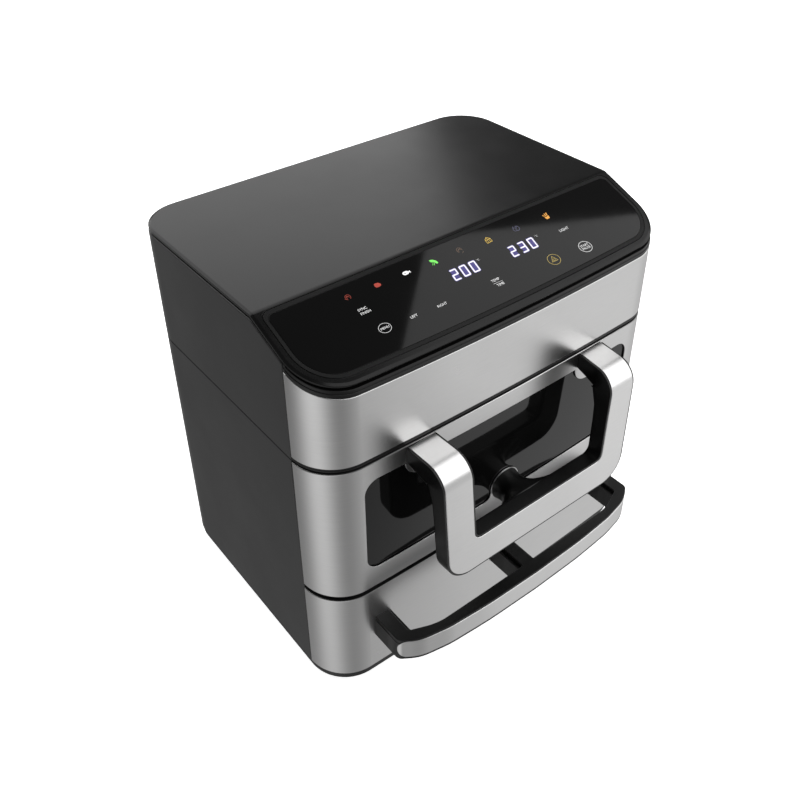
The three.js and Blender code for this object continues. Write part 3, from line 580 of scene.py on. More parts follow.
STEEL_FACE = satin_steel("satin_steel", (0.03, 0.03, 1), 0.575, 0.625)
STEEL_BAR = satin_steel("satin_steel_handle", (0.05, 0.05, 1), 0.65, 0.70)
CHARCOAL = moulded("charcoal_plastic", grey(0.022), grey(0.027), 0.42, 0.000008, 1900)
COVER_BLACK = moulded("satin_black_cover", grey(0.003), grey(0.004), 0.19, 0.000001, 2500, ior=1.305)
BEZEL_BLACK = moulded("satin_black_bezel", grey(0.004), grey(0.006), 0.34, 0.000004, 2200, ior=1.28)
BLACK = moulded("black_plastic", grey(0.005), grey(0.008), 0.34, 0.000005, 1700, ior=1.38)
FRAME_BLACK = moulded("matt_black_plastic", grey(0.008), grey(0.012), 0.5, 0.00001, 1300)
GLASS_BLACK = gloss_glass("black_glass", grey(0.003), grey(0.004), 1.30)
WINDOW_BLACK = gloss_glass("tinted_window", grey(0.004), grey(0.006))
RUBBER = moulded("rubber", grey(0.012), grey(0.02), 0.8, 0.00003, 900)
COATED = moulded("nonstick_coating", grey(0.014), grey(0.026), 0.38, 0.00001, 1100)
ZINC = sheet_metal("zinc_sheet", grey(0.36, -0.01), grey(0.46, -0.01), 0.42)
DARK_STEEL = sheet_metal("heat_darkened_steel", (0.06, 0.05, 0.045), (0.11, 0.09, 0.075), 0.4, 160)
BRONZE = sheet_metal("sintered_bronze", (0.33, 0.18, 0.06), (0.42, 0.25, 0.1), 0.4, 300)
ALUMINIUM = sheet_metal("fan_aluminium", grey(0.5), grey(0.6), 0.36, 60)
BOARD = moulded("circuit_board", (0.01, 0.07, 0.03), (0.02, 0.12, 0.05), 0.45, 0.00002, 700)
FIBRE = moulded("ceramic_fibre", (0.62, 0.58, 0.5), (0.75, 0.72, 0.66), 0.9, 0.0004, 300)
CLEAR = gloss_glass("inner_glass", grey(0.02), grey(0.03))
WHITE_MARK = lit("white_marks", (0.62, 0.62, 0.62))
BRIGHT_MARK = lit("bright_white_marks", (0.95, 0.95, 0.95))
LETTER_MARK = lit("lettering_light", (0.86, 0.86, 0.86))
DIGIT_MARK = lit("digit_light", (0.93, 0.91, 1.0), 0.05)
GLOW_MARK = lit("digit_glow", (0.065, 0.055, 0.22), 0.2)
RED_MARK = lit("red_marks", (0.38, 0.040, 0.022))
DULL_RED_MARK = lit("dull_red_marks", (0.28, 0.035, 0.02))
GREEN_MARK = lit("green_marks", (0.20, 0.85, 0.13))
BROWN_MARK = lit("brown_marks", (0.13, 0.085, 0.06))
YELLOW_MARK = lit("yellow_marks", (0.62, 0.42, 0.08))
BLUE_MARK = lit("blue_marks", (0.12, 0.12, 0.20))
ORANGE_MARK = lit("orange_marks", (0.80, 0.36, 0.06))
KHAKI_MARK = lit("khaki_marks", (0.42, 0.32, 0.09))


# ---- housing

def slope_line(start, end, drop):
    """Points along the wall at a fixed drop under the top surface."""
    return [(s, top_surface(wall(s)[1])[0] - drop) for s in even_steps(start, end, 3.0)]


def front_outline(low, drop, end=STEEL_END):
    return [(-end, low), (end, low)] + slope_line(end, -end, drop)


def steel_front(name, body, node, outline, *holes):
    """Folded steel sheet that follows the front of the housing."""
    bm = wall_plate((outline, edge(0, STEEL, STEEL_EDGE, 0.2)), *holes)
    piece(name, [(bm, round_wall)], STEEL_FACE, body, [node])


def upper_band():
    outline = front_outline(band_low.z, STEEL_DROP)
    steel_front("upper_band_steel", "housing", "upper_front_band", outline)


def panel_trim():
    """Black carrier of the steel band: two steps of trim above the steel and a lip under it."""
    end = STEEL_END
    seam = band_low.z - main_high.z
    backing = front_outline(band_low.z - seam + 0.6, GROOVE_DROP + 0.5)
    step_low = slope_line(-end, end, STEEL_DROP - 0.25)
    step_top = slope_line(end, -end, GROOVE_DROP + 3.2)
    rise_low = slope_line(-end, end, GROOVE_DROP + 3.4)
    rise_top = slope_line(end, -end, GROOVE_DROP)
    lips = [rectangle(-end, end, band_low.z - drop - 1.3, band_low.z - drop, 0) for drop in (0.1, 1.7)]
    loops = [
        (backing, edge(STEEL + 0.3, STEEL + 3.5, 0.3)),
        (step_low + step_top, edge(0.1, STEEL + 0.5, 0.5, 0.2)),
        (rise_low + rise_top, edge(0.7, STEEL + 0.5, 0.5, 0.2)),
    ]
    loops += [(lip, edge(0.3, STEEL + 0.5, 0.25)) for lip in lips]
    piece("panel_trim", [(wall_plate(loop), round_wall) for loop in loops], BLACK, "housing",
          ["upper_front_carrier"])


def side_shells():
    far = 2 * HALF_ROUND - SHELL_START
    vent = rectangle(HALF_ROUND - 78, HALF_ROUND + 78, vent_low.z + 6, vent_high.z - 6, 8)
    inlet_low, inlet_high = box_mm("mains_inlet")
    inlet = rectangle(
        HALF_ROUND - inlet_high.x + 3, HALF_ROUND - inlet_low.x - 3, inlet_low.z + 3, inlet_high.z - 3, 3,
    )
    lower = [(SHELL_START, shell_low.z), (far, shell_low.z), (far, shell_high.z), (SHELL_START, shell_high.z)]
    bottom = upper_shell_low.z
    upper = [(SHELL_START, bottom), (far, bottom)] + slope_line(far, SHELL_START, GROOVE_DROP)
    for level, outline, hole in (("lower", lower, inlet), ("upper", upper, vent)):
        bm = wall_plate((outline, edge(0, SHELL, 1.1, 0.3)), (hole, edge(0, SHELL, 0.4)))
        piece(level + "_side_shell", [(bm, round_wall)], CHARCOAL, "housing",
              [level + "_shell"])


BEZEL_INSET = 6.8
GLASS_INSET = 10.5
SKIRT_DEPTH = 13  # the lid's skirt reaches down to here inside the shell


def top_cover():
    """Satin lid with a shallow chamfer all round and the opening for the control panel."""
    outer = rim([(4.4, 0, 0), (3.0, 0, 0.5), (0.5, 0.8, 0.35), (0.5, COVER, 0.3), (4.4, COVER, 0)])
    opening = panel_loop(BEZEL_INSET, bezel_high.y + GAP, 8)
    plan = top_plate((housing_loop(0), outer), (opening, edge(0, COVER, 0.3)))
    skirt = top_plate((housing_loop(0), edge(COVER - 0.1, SKIRT_DEPTH, 0.2, 0.2, 4.6)),
                      (housing_loop(7), edge(COVER - 0.1, SKIRT_DEPTH, 0.2)))
    piece("top_lid", [(plan, on_top), (skirt, on_top)], COVER_BLACK, "housing",
          ["top_cover"])


def panel_bezel():
    outer = panel_loop(BEZEL_INSET + GAP, bezel_high.y, 7.7)
    inner = panel_loop(GLASS_INSET, glass_high.y + 0.25, 6)
    bm = top_plate((outer, edge(0.1, 5, 0.3)), (inner, edge(0.1, 5, 0.25)))
    piece("panel_bezel", [(bm, on_top)], BEZEL_BLACK, "housing", ["panel_frame"])


def control_glass():
    outline = panel_loop(GLASS_INSET + 0.25, glass_high.y, 5.8)
    bm = plate((outline, edge(0.1, 2.8, 0.25)))
    piece("control_panel_glass", [(bm, on_top)], GLASS_BLACK, "housing", ["control_glass"])


def base():
    height = base_high.z - base_low.z
    bm = plate((housing_loop(0), rim([(3, 0, 0), (1, 0, 0.4), (1, height, 2.2), (4, height, 0)])))
    piece("base_skirt", [(bm, down_from(base_high.z))], FRAME_BLACK, "housing",
          ["base_pan"])


def feet():
    for node in ("foot_front_left", "foot_front_right", "foot_back_left", "foot_back_right"):
        low, high = box_mm(node)
        x, y = (low.x + high.x) / 2, (low.y + high.y) / 2
        radius = (high.x - low.x) / 2
        height = base_low.z + 0.1
        section = rim([(3, 0, 0), (0.6, 0, 0.4), (0, height, 1.6), (4, height, 0)])
        bm = plate((circle(x, y, radius), section))
        piece(node + "_pad", [(bm, down_from(height))], RUBBER, "housing", [node])


VENT_ROWS = 8
VENT_BORDER = 8
VENT_SLOT = 4, 72  # each slot runs between these distances from the middle
VENT_BAR = 2.8  # height of the bars between the slots


def rear_vent():
    x0, x1, z0, z1 = vent_low.x, vent_high.x, vent_low.z, vent_high.z
    depth = vent_high.y - BACK - 0.3
    loops = [(rectangle(x0, x1, z0, z1, 10), edge(0, depth, 1.6, 0.2))]
    pitch = (z1 - z0 - 2 * VENT_BORDER) / VENT_ROWS
    for row in range(VENT_ROWS):
        low = z0 + VENT_BORDER + row * pitch + VENT_BAR / 2
        for side in (-1, 1):
            a, b = sorted(side * x for x in VENT_SLOT)
            loops.append((rectangle(a, b, low, low + pitch - VENT_BAR, 2.2, 20), edge(0, depth, 0.4, 0.2)))
    inside = rectangle(x0 + VENT_BORDER, x1 - VENT_BORDER, z0 + VENT_BORDER, z1 - VENT_BORDER, 5)
    recess = plate((inside, edge(depth + 3, depth + 5, 0.2)))
    place = forward_of(vent_high.y)
    piece("rear_grille", [(plate(*loops), place), (recess, place)], FRAME_BLACK, "housing",
          ["rear_vent"])


# ---- marks on the control panel

MARKS_TOP = -46.0  # marks are placed by their distance down the slope from here
MARK_FRONT, MARK_BACK, MARK_BEVEL = 0.05, 0.4, 0.02
DIGIT_WIDTH, DIGIT_HEIGHT, DIGIT_STROKE, DIGIT_LEAN = 5.7, 10.4, 1.35, 0.1
SEGMENT_GAP = 0.06  # share of a segment left out at each end
SEGMENTS = {
    "top": ((0, 1), (1, 1)), "middle": ((0, 0.5), (1, 0.5)), "bottom": ((0, 0), (1, 0)),
    "top left": ((0, 0.5), (0, 1)), "top right": ((1, 0.5), (1, 1)),
    "bottom left": ((0, 0), (0, 0.5)), "bottom right": ((1, 0), (1, 0.5)),
}
UNLIT = {"0": ["middle"], "2": ["top left", "bottom right"], "3": ["top left", "bottom left"]}


def on_panel(u, v, depth):
    return on_top(u, MARKS_TOP + v * math.cos(SLOPE), depth)


def line(width, *points):
    """Outlines of a line with round joints and ends."""
    outlines = []
    for (x0, y0), (x1, y1) in zip(points, points[1:]):
        turn = math.degrees(math.atan2(y1 - y0, x1 - x0))
        ends = arc(x1, y1, width / 2, turn - 90, turn + 90, 30)
        ends += arc(x0, y0, width / 2, turn + 90, turn + 270, 30)
        outlines.append([sample[:2] for sample in ends])
    return outlines


def curve(width, x, y, radius, start, end):
    return line(width, *[sample[:2] for sample in arc(x, y, radius, start, end, 24)])


def marks(name, material, x, down, outlines, holes=(), front=MARK_FRONT):
    """Thin printed shapes around one point of the panel. Any holes are in the first of them."""
    section = edge(front, MARK_BACK, MARK_BEVEL)
    loops = [([(x + u, v - down) for u, v in loop], section) for loop in (*outlines, *holes)]
    first, *others = loops[:len(outlines)]
    plates = [plate(first, *loops[len(outlines):])] + [plate(outline) for outline in others]
    piece(name, [(bm, on_panel) for bm in plates], material, "housing")


def ring(name, material, x, down, radius, width, squash):
    """Slightly flattened ring round a touch key."""
    outer, inner = ([(u, v * squash) for u, v in circle(0, 0, r, 6)] for r in (radius, radius - width))
    marks(name, material, x, down, [outer], [inner])


def lettering(text, x, down, size):
    """Flat letters centred on a point of the panel."""
    font = bpy.data.curves.new("lettering", "FONT")
    font.body = text
    font.size = size
    font.resolution_u = 3
    font.align_x = font.align_y = "CENTER"
    obj = bpy.data.objects.new("lettering", font)
    mesh = bpy.data.meshes.new_from_object(obj)
    bm = bmesh.new()
    bm.from_mesh(mesh)
    flat_normal = bm.verts.layers.float_vector.new("flat_normal")
    for vert in bm.verts:
        vert.co = vert.co.x + x, vert.co.y - down, MARK_FRONT
        vert[flat_normal] = -Z
    bpy.data.objects.remove(obj)
    bpy.data.curves.remove(font)
    bpy.data.meshes.remove(mesh)
    return bm, on_panel


def digit_lines(text, pitches):
    """Lines of the lit segments of a number's digits, each placed by its pitch."""
    lines = []
    for digit, pitch in zip(text, pitches):
        for name, ends in SEGMENTS.items():
            if name in UNLIT[digit]:
                continue
            (x0, y0), (x1, y1) = (
                (pitch + u * DIGIT_WIDTH + v * DIGIT_HEIGHT * DIGIT_LEAN, v * DIGIT_HEIGHT)
                for u, v in ends
            )
            near = x0 + (x1 - x0) * SEGMENT_GAP, y0 + (y1 - y0) * SEGMENT_GAP
            far = x1 + (x0 - x1) * SEGMENT_GAP, y1 + (y0 - y1) * SEGMENT_GAP
            lines.append((near, far))
    return lines


def displays():
    for side, text, x, down, pitches in (("left", "200", -28.9, 32.2, (0, 10.3, 21.0)),
                                         ("right", "230", 36.4, 34.0, (0, 11.6, 22.9))):
        lines = digit_lines(text, pitches)
        lit_lines = [outline for ends in lines for outline in line(DIGIT_STROKE, *ends)]
        glow = [outline for ends in lines for outline in line(DIGIT_STROKE + 1.1, *ends)]
        half = (DIGIT_WIDTH + DIGIT_HEIGHT * DIGIT_LEAN) / 2
        middles = [(pitch + half, DIGIT_HEIGHT / 2) for pitch in pitches]
        fills = [rectangle(u - 2.6, u + 2.6, v - 4.9, v + 4.9, 1) for u, v in middles]
        marks("display_digits_" + side, DIGIT_MARK, x, down, lit_lines)
        marks("display_glow_" + side, GLOW_MARK, x, down, glow + fills, front=0.08)


def food_symbols():
    """The eight cooking programmes along the back of the panel."""
    marks("symbol_drumstick", DULL_RED_MARK, -122.1, 6.8,
          curve(0.4, 0.3, 0, 2.4, -60, 240) + line(0.4, (-0.9, -2.1), (-2.8, -0.8))
          + line(0.4, (-1.2, 0.6), (0.2, 1.2), (1.2, 0)) + curve(0.4, 0.3, -0.4, 1.1, 0, 200))
    marks("symbol_steak", RED_MARK, -92.7, 7.0, [rounded([
        (-3.0, -0.2, 1), (-2.4, -1.8, 0.8), (0.2, -2.2, 1), (2.9, -1.4, 0.7), (3.2, 0.2, 0.8), (1.6, 1.9, 1),
        (-2.2, 2.2, 0.9),
    ], 30)])
    body = rounded([(-4.0, 0.2, 1.0), (-2.4, -1.7, 1.8), (1.4, -1.6, 2), (3.0, 0.1, 0.4), (1.4, 1.9, 2),
                    (-2.4, 2.0, 1.8)], 25)
    tail = rounded([(2.2, 0.1, 0.3), (4.5, -1.7, 0.3), (4.0, 0.1, 0.4), (4.4, 1.5, 0.3)], 30)
    marks("symbol_fish", BRIGHT_MARK, -63.1, 7.1, [body, tail], [circle(-1.3, 0.1, 0.6, 30)])
    leaf = rounded([(-3.3, 2.6, 0.6), (-2.6, 0.6, 0.5), (0.2, -0.6, 1), (1.6, -3.0, 0.5), (3.4, -2.4, 0.8),
                    (2.6, 0.4, 1.2), (0.4, 2.4, 1.2), (-2.2, 3.1, 0.8)], 30)
    marks("symbol_vegetable", GREEN_MARK, -34.1, 7.5, [leaf] + line(0.45, (-1.2, -0.6), (-3.0, -2.6))
          + line(0.45, (0, -1.2), (-1.6, -3.1)))
    marks("symbol_cookie", BROWN_MARK, -5.0, 7.1,
          curve(0.45, 0, 0.4, 2.6, -20, 230) + curve(0.4, 0.2, -0.4, 1.5, 20, 200)
          + line(0.4, (-1.4, 0.8), (1.7, 1.9)) + curve(0.35, 0.3, -0.6, 2.7, -80, -30))
    marks("symbol_cake", YELLOW_MARK, 26.8, 8.6,
          curve(0.55, 0, -0.4, 3.0, 20, 160) + line(0.8, (-0.4, 2.4), (0, 3.2))
          + line(0.6, (-3.0, 0.4), (3.0, 0.9)) + line(0.5, (-2.8, -2.9), (2.8, -2.3))
          + [outline for x in (-2.9, -1.0, 1.0, 2.9) for outline in line(0.5, (x, -2.7), (x, 0.4))])
    marks("symbol_fruit", BLUE_MARK, 60.0, 8.9,
          curve(0.35, 1.2, 0, 2.6, -130, 100) + curve(0.35, -1.4, -0.4, 1.9, 30, 330)
          + line(0.35, (-0.6, -0.8), (2.4, 2.4)) + line(0.35, (-2.6, 1.8), (-1.2, 3.0)))
    box = rounded([(-2.6, -0.4, 0.3), (-1.9, -3.3, 0.4), (2.0, -3.1, 0.4), (2.8, 0.2, 0.3),
                   (0.2, -0.6, 0.4)], 30)
    marks("symbol_fries", ORANGE_MARK, 97.9, 9.3,
          [box] + line(0.9, (-1.9, 0.6), (-2.6, 2.2)) + line(1.0, (-0.3, 0.5), (0.1, 3.0))
          + line(1.2, (1.6, 0.8), (2.3, 3.2)))


def touch_keys():
    ring("key_ring_menu", WHITE_MARK, -112.6, 45.1, 5.8, 0.45, 0.8)
    ring("key_ring_start", WHITE_MARK, 106.9, 53.9, 7.2, 0.6, 0.87)
    ring("key_ring_sync", KHAKI_MARK, 68.2, 52.4, 6.8, 0.5, 0.87)
    warning = [(-3.4, -1.9), (0.2, 3.6), (3.4, -1.9), (-3.4, -1.9)]
    marks("key_symbol_sync", KHAKI_MARK, 68.2, 52.4, line(0.5, *warning) + curve(0.4, 0, -0.6, 1.3, 20, 200)
          + line(0.4, (-1.2, -1.1), (1.4, -1.1)))
    words = (
        ("MENU", -112.6, 45.1, 3.1), ("SYNC", -118.1, 21.8, 3.4), ("FINISH", -117.4, 25.7, 3.4),
        ("LEFT", -84.5, 46.4, 3.5), ("RIGHT", -56.1, 47.5, 3.4), ("TEMP", 2.9, 47.0, 3.7),
        ("TIME", 4.3, 52.7, 3.7), ("LIGHT", 102.5, 29.1, 4.1), ("START", 106.9, 52.4, 3.5),
        ("PAUSE", 106.9, 55.6, 3.5), ("\u00b0C", 3.2, 22.7, 2.6), ("\u00b0C", 71.8, 24.1, 2.6),
    )
    piece("key_lettering", [lettering(*word) for word in words], LETTER_MARK, "housing")
    marks("key_divider_line", WHITE_MARK, 3.4, 49.9, line(0.3, (-5, 0.1), (5, -0.1)))


# ---- drawer fronts

WINDOW_HALF = 159.0
WINDOW_LOW, WINDOW_HIGH = 147.0, 251.0
WINDOW_CORNER = 14.0
PANE_OVERLAP = 5.5  # the pane reaches this far behind the steel all round
BUMP_RADIUS, BUMP_Z, BUMP_FILLET = 17.5, 158.0, 8.0
TAB_X, TAB_RADIUS = 101.0, 17.0


def window_outline():
    """Opening in the steel, with a round tab at each handle arm and a bump under the handle's stem."""
    corner_x = across(WINDOW_HALF) - WINDOW_CORNER
    side = BUMP_RADIUS + BUMP_FILLET
    tab_x = across(TAB_X)
    half = arc(0, BUMP_Z, BUMP_RADIUS, 90, 0)
    half += arc(side, WINDOW_LOW + BUMP_FILLET, BUMP_FILLET, 180, 270, 10)
    half += arc(corner_x, WINDOW_LOW + WINDOW_CORNER, WINDOW_CORNER, -90, 0, 6)
    half += arc(corner_x, WINDOW_HIGH - WINDOW_CORNER, WINDOW_CORNER, 0, 90, 6)
    half += arc(tab_x, WINDOW_HIGH, TAB_RADIUS, 0, -180, 5)
    points = [sample[:2] for sample in half]
    return points + [(-x, z) for x, z in reversed(points[1:])]


def front_rectangle(low, high):
    return [(-STEEL_END, low.z), (STEEL_END, low.z), (STEEL_END, high.z), (-STEEL_END, high.z)]


def main_front():
    outline = front_rectangle(main_low, main_high)
    window = window_outline(), edge(0, STEEL, 0.35)
    steel_front("main_front_steel", "main_drawer", "main_front_panel", outline, window)
    half = across(WINDOW_HALF) + PANE_OVERLAP
    pane = rectangle(-half, half, WINDOW_LOW - PANE_OVERLAP, WINDOW_HIGH + PANE_OVERLAP, 16)
    pane = wall_plate((pane, edge(STEEL + 0.5, 5.1, 0.3)))
    piece("window_pane", [(pane, round_wall)], WINDOW_BLACK, "main_drawer", ["window_glass"])


def lower_front():
    outline = front_rectangle(lower_low, lower_high)
    steel_front("lower_front_steel", "lower_drawer", "lower_front_panel", outline)


# ---- main handle

ROOT_Y = trim_high.y
HANDLE_TOP = trim_high.z
HANDLE_FALL = 2.4  # the arms slope down to the bend by this much
HANDLE_BOTTOM = trim_low.z
FACE_TOP_Y, FACE_BOTTOM_Y = -164.3, trim_low.y
BAR_HEIGHT = 33.0
HANDLE_BEND = 22.0
HANDLE_DEPTH = 17.5
TRIM = 1.6
STEM_RADIUS = 13
MARGIN = 1.9  # black edge seen round the steel strip
BEND_MIDDLE = FACE_TOP_Y, HANDLE_TOP - HANDLE_FALL
BEND_REACH = 42  # the fillet inside the bend starts this far from its middle
HANDLE_SIDE = open_path([
    (ROOT_Y, HANDLE_TOP, 0), (*BEND_MIDDLE, HANDLE_BEND), (FACE_BOTTOM_Y, HANDLE_BOTTOM, 0),
], 3.0)


def on_handle(u, v, depth):
    """Depth grows towards the inside of the bend, where the arm is filled out by a large fillet."""
    y, z, ny, nz = HANDLE_SIDE.at(v)
    if depth > TRIM + 1:
        away = min(1.0, math.dist((y, z), BEND_MIDDLE) / BEND_REACH)
        depth *= 1 + 0.5 * (1 - away * away) ** 1.5
    return Vector((u, y - ny * depth, z - nz * depth)), X, Vector((0, -nz, ny)), Vector((0, -ny, -nz))


def handle_outline(grow):
    """The handle unrolled: two arms that come slightly together at a bar."""
    end = HANDLE_SIDE.length + grow
    bar = HANDLE_SIDE.length - BAR_HEIGHT - grow
    outer = [(-116.1 - grow, 0, 0), (-108.2 - grow, end, 25 + grow)]
    inner = [(87.9 - grow, 0, 0), (80.2 - grow, bar, 9 - grow)]
    return rounded(outer + mirrored(outer) + inner + mirrored(inner), 5)


def main_handle():
    bends = HANDLE_SIDE.bends(20)
    core = plate((handle_outline(MARGIN), edge(TRIM + 0.15, HANDLE_DEPTH, 0.2, 3.2)))
    frame_front = plate((handle_outline(MARGIN), edge(0.5, TRIM + 0.4, 0.4, 0.1)),
                        (handle_outline(0.15), edge(0.5, TRIM + 0.4, 0.1, 0.1)))
    plates = [(sliced(bm, bends, Y), on_handle) for bm in (core, frame_front)]
    piece("handle_core", plates, BLACK, "main_drawer", ["main_handle_core"])
    trim = sliced(plate((handle_outline(0), edge(0, TRIM, 0.5, 0.2))), bends, Y)
    piece("handle_steel", [(trim, on_handle)], STEEL_BAR, "main_drawer",
          ["main_handle_trim"])
    handle_stem()


def handle_stem():
    """Round stem from the steel bump to the back of the bar, flaring as it meets the bar."""
    start_y = ROOT_Y + 1.5
    end_y = FACE_BOTTOM_Y + HANDLE_DEPTH - 1.5
    half_bar = BAR_HEIGHT / 2 + MARGIN - 0.6
    steps, sides = 18, 48
    power = 2 / 2.3  # a little squarer than an ellipse
    rings = []
    for i in range(steps + 1):
        t = i / steps
        radius = STEM_RADIUS + 3.5 * (1 - t) ** 3
        wide = radius + 52 * t ** 4
        tall = min(half_bar, radius + 6 * t ** 3)
        ring = []
        for k in range(sides):
            angle = math.tau * k / sides
            c, s = math.cos(angle), math.sin(angle)
            x = wide * math.copysign(abs(c) ** power, c)
            z = tall * math.copysign(abs(s) ** power, s)
            ring.append(Vector((x, start_y + (end_y - start_y) * t, BUMP_Z + z)))
        rings.append(ring)
    loft("handle_stem", rings, BLACK, "main_drawer")


# ---- lower handle

LOOP_TOP = loop_high.z
LOOP_BACK = FRONT + 4.0
LOOP_CORNERS = [
    (-153.2, LOOP_BACK, 0), (-153.2, -151.6, 8), (-136, -163.0, 44), (-106, -168.9, 110),
    (-60, -172.2, 500), (0, -173.2, 0),
]
LOOP_STEP = 4.5


def loop_side(grow):
    """Outer side of the loop from its left root to the middle of its front."""
    (x0, y0, _), (x1, y1, r1), *front = LOOP_CORNERS
    side = [(x0 - grow, y0, 0), (x1 - grow, y1 - grow / 2, r1 + grow)]
    return side + [(x, y - grow, r) for x, y, r in front]


def loop_outline(grow, web, side, front_y):
    """The loop in plan, open to the drawer front, with a web in the middle."""
    outer = loop_side(grow)
    gap = [
        (side, LOOP_BACK, 0), (side, front_y + 10.5, 4), (side - 26, front_y, 60),
        (web, front_y - 0.8, 3), (web, LOOP_BACK, 0),
    ]
    return rounded(outer + mirrored(outer)[1:] + gap + mirrored(gap), 5)


LOOP_LINE = open_path(loop_side(0) + mirrored(loop_side(0))[1:], 3.0)


def lower_handle():
    height = LOOP_TOP - loop_low.z
    upper = plate((loop_outline(-0.4, 6.8, 138.6, -158.7), edge(0, LOOP_STEP, 0.7, 0.1)))
    lower = plate((loop_outline(-0.1, 10.6, 134.8, -158.2), edge(LOOP_STEP, height, 0.1, 0.2)))
    place = down_from(LOOP_TOP)
    piece("lower_handle_loop", [(upper, place), (lower, place)], BLACK, "lower_drawer",
          ["lower_handle_core"])
    middle = LOOP_LINE.length / 2
    reach = next(i for i in range(4000) if LOOP_LINE.at(middle + i * 0.05)[0] >= strip_high.x) * 0.05
    radius = (strip_high.z - strip_low.z) / 2 - 0.05
    outline = rectangle(middle - reach, middle + reach, strip_low.z, strip_high.z, radius, 6)
    strip = sliced(plate((outline, edge(0, TRIM, 0.5, 0.2))), LOOP_LINE.bends(8))
    piece("lower_handle_steel", [(strip, upright(LOOP_LINE.at))], STEEL_BAR, "lower_drawer",
          ["lower_handle_trim"])


# ---- tubs and plates

RIM_WIDTH = 7.5
TUB_WALL = 1.2
CRISPER_SHEET = 1.6
CRISPER_SLOT = 7, 1.7  # half length and half width
CRISPER_LEG_INSET = 20


def tub(name, node, body):
    """Drawn tub with a rounded bottom, and a rail along each side."""
    low, high = box_mm(node)
    half = high.x - RIM_WIDTH
    depth = high.z - low.z
    outline = rectangle(-half, half, low.y, high.y, 16, 6)
    section = rim([
        (15.5, depth - TUB_WALL, 0), (TUB_WALL, depth - TUB_WALL, 11), (TUB_WALL, 0, 0.55), (0, 0, 0.55),
        (0, depth, 12), (15.5, depth, 0),
    ], 10)
    rails = []
    for side in (-1, 1):
        a, b = sorted((side * (half - 0.3), side * high.x))
        rails.append(plate((rectangle(a, b, low.y + 14, high.y - 2, 1.5, 15), edge(0, 2, 0.5))))
    place = down_from(high.z)
    plates = [(plate((outline, section)), place)] + [(rail, place) for rail in rails]
    piece(name, plates, COATED, body, [node])


def crisper(name, node, body, columns, rows):
    """Perforated plate on short feet."""
    low, high = box_mm(node)
    loops = [(rectangle(low.x, high.x, low.y, high.y, 12, 6), edge(0, CRISPER_SHEET, 0.5))]
    length, width = CRISPER_SLOT
    pitch_x, pitch_y = (high.x - low.x) / columns, (high.y - low.y) / rows
    for row in range(rows):
        for column in range(columns):
            centre = Vector((low.x + pitch_x * (column + 0.5), low.y + pitch_y * (row + 0.5)))
            angle = math.pi / 4 if (row + column) % 2 else -math.pi / 4
            slot = rectangle(-length, length, -width, width, 1.6, 30)
            slot = [tuple(centre + turned(Vector(p), angle)) for p in slot]
            loops.append((slot, edge(0, CRISPER_SHEET, 0.3)))
    place = down_from(high.z)
    plates = [(plate(*loops), place)]
    height = high.z - low.z
    leg = rim([(2, 1.5, 0), (0, 1.5, 0.2), (0, height, 1.2), (2, height, 0)])
    for x in (low.x + CRISPER_LEG_INSET, high.x - CRISPER_LEG_INSET):
        for y in (low.y + CRISPER_LEG_INSET, high.y - CRISPER_LEG_INSET):
            plates.append((plate((circle(x, y, 4), leg)), place))
    piece(name, plates, COATED, body, [node])


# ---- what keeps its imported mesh

CAD_FINISHES = (
    (ZINC, "main_liner lower_liner exhaust_duct heater_guard inner_door motor_left motor_right"),
    (ZINC, "handle_screw_left handle_screw_right loop_screw_left loop_screw_right"),
    (FRAME_BLACK, "middle_deck board_tray mains_inlet main_front_frame lower_front_frame"),
    (BLACK, "switch_main switch_lower"),
    (BOARD, "touch_board power_board"),
    (FIBRE, "insulation_sheet"),
    (DARK_STEEL, "heater_left heater_right heater_lower fan_shaft_left fan_shaft_right"),
    (ALUMINIUM, "fan_left fan_right"),
    (BRONZE, "bearing_left bearing_right"),
    (RUBBER, "window_seal"),
    (CLEAR, "inner_glass"),
    (COATED, "divider"),
)


def finish_packed_nodes():
    for material, nodes in CAD_FINISHES:
        for node in nodes.split():
            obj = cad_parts[node]
            obj.data.materials.clear()
            obj.data.materials.append(material)


# ---- studio

# Brightness of the studio below the horizon, by azimuth in degrees from the back towards the right.
AROUND = [
    (-180, 0.33), (-166, 0.25), (-146, 0.36), (-126, 0.77), (-105, 1.03), (-84, 0.74), (-64, 0.34),
    (-48, 0.25), (-32, 0.15), (-20, 0.42), (0, 0.42), (20, 0.32), (80, 0.60), (112, 0.80), (138, 1.02),
    (150, 0.56), (164, 0.47),
]
BELOW = 0.38
ABOVE = 0.17
LIGHT_DISTANCE = 25.0
AIM_HEIGHT = 0.2


def studio():
    scene = bpy.context.scene
    scene.view_settings.view_transform = "Standard"
    scene.world = studio_world()
    floor_finish = Finish("white_floor")
    floor_finish.colour(floor_finish.noise(3, 2), grey(0.86), grey(0.88))
    floor_finish.put("Roughness", 0.7).put("Emission Color", (1, 1, 1, 1)).put("Emission Strength", 0.85)
    bm = plate((circle(0, 0, 12000, 4), edge(0, 20, 5)))
    floor = mesh_object("floor", *laid([(bm, down_from(0))]))
    floor.data.materials.append(floor_finish.material)
    floor.visible_diffuse = floor.visible_glossy = floor.visible_shadow = False
    softbox("softbox_back", azimuth=0, elevation=50, roll=-10, left=0.9, right=0.71, down=0.75, up=0.4,
            radiance=1.7)
    softbox("softbox_right", azimuth=125, elevation=20, roll=-12, left=0.478, right=0.95, down=0.4, up=1.14,
            radiance=1.75)


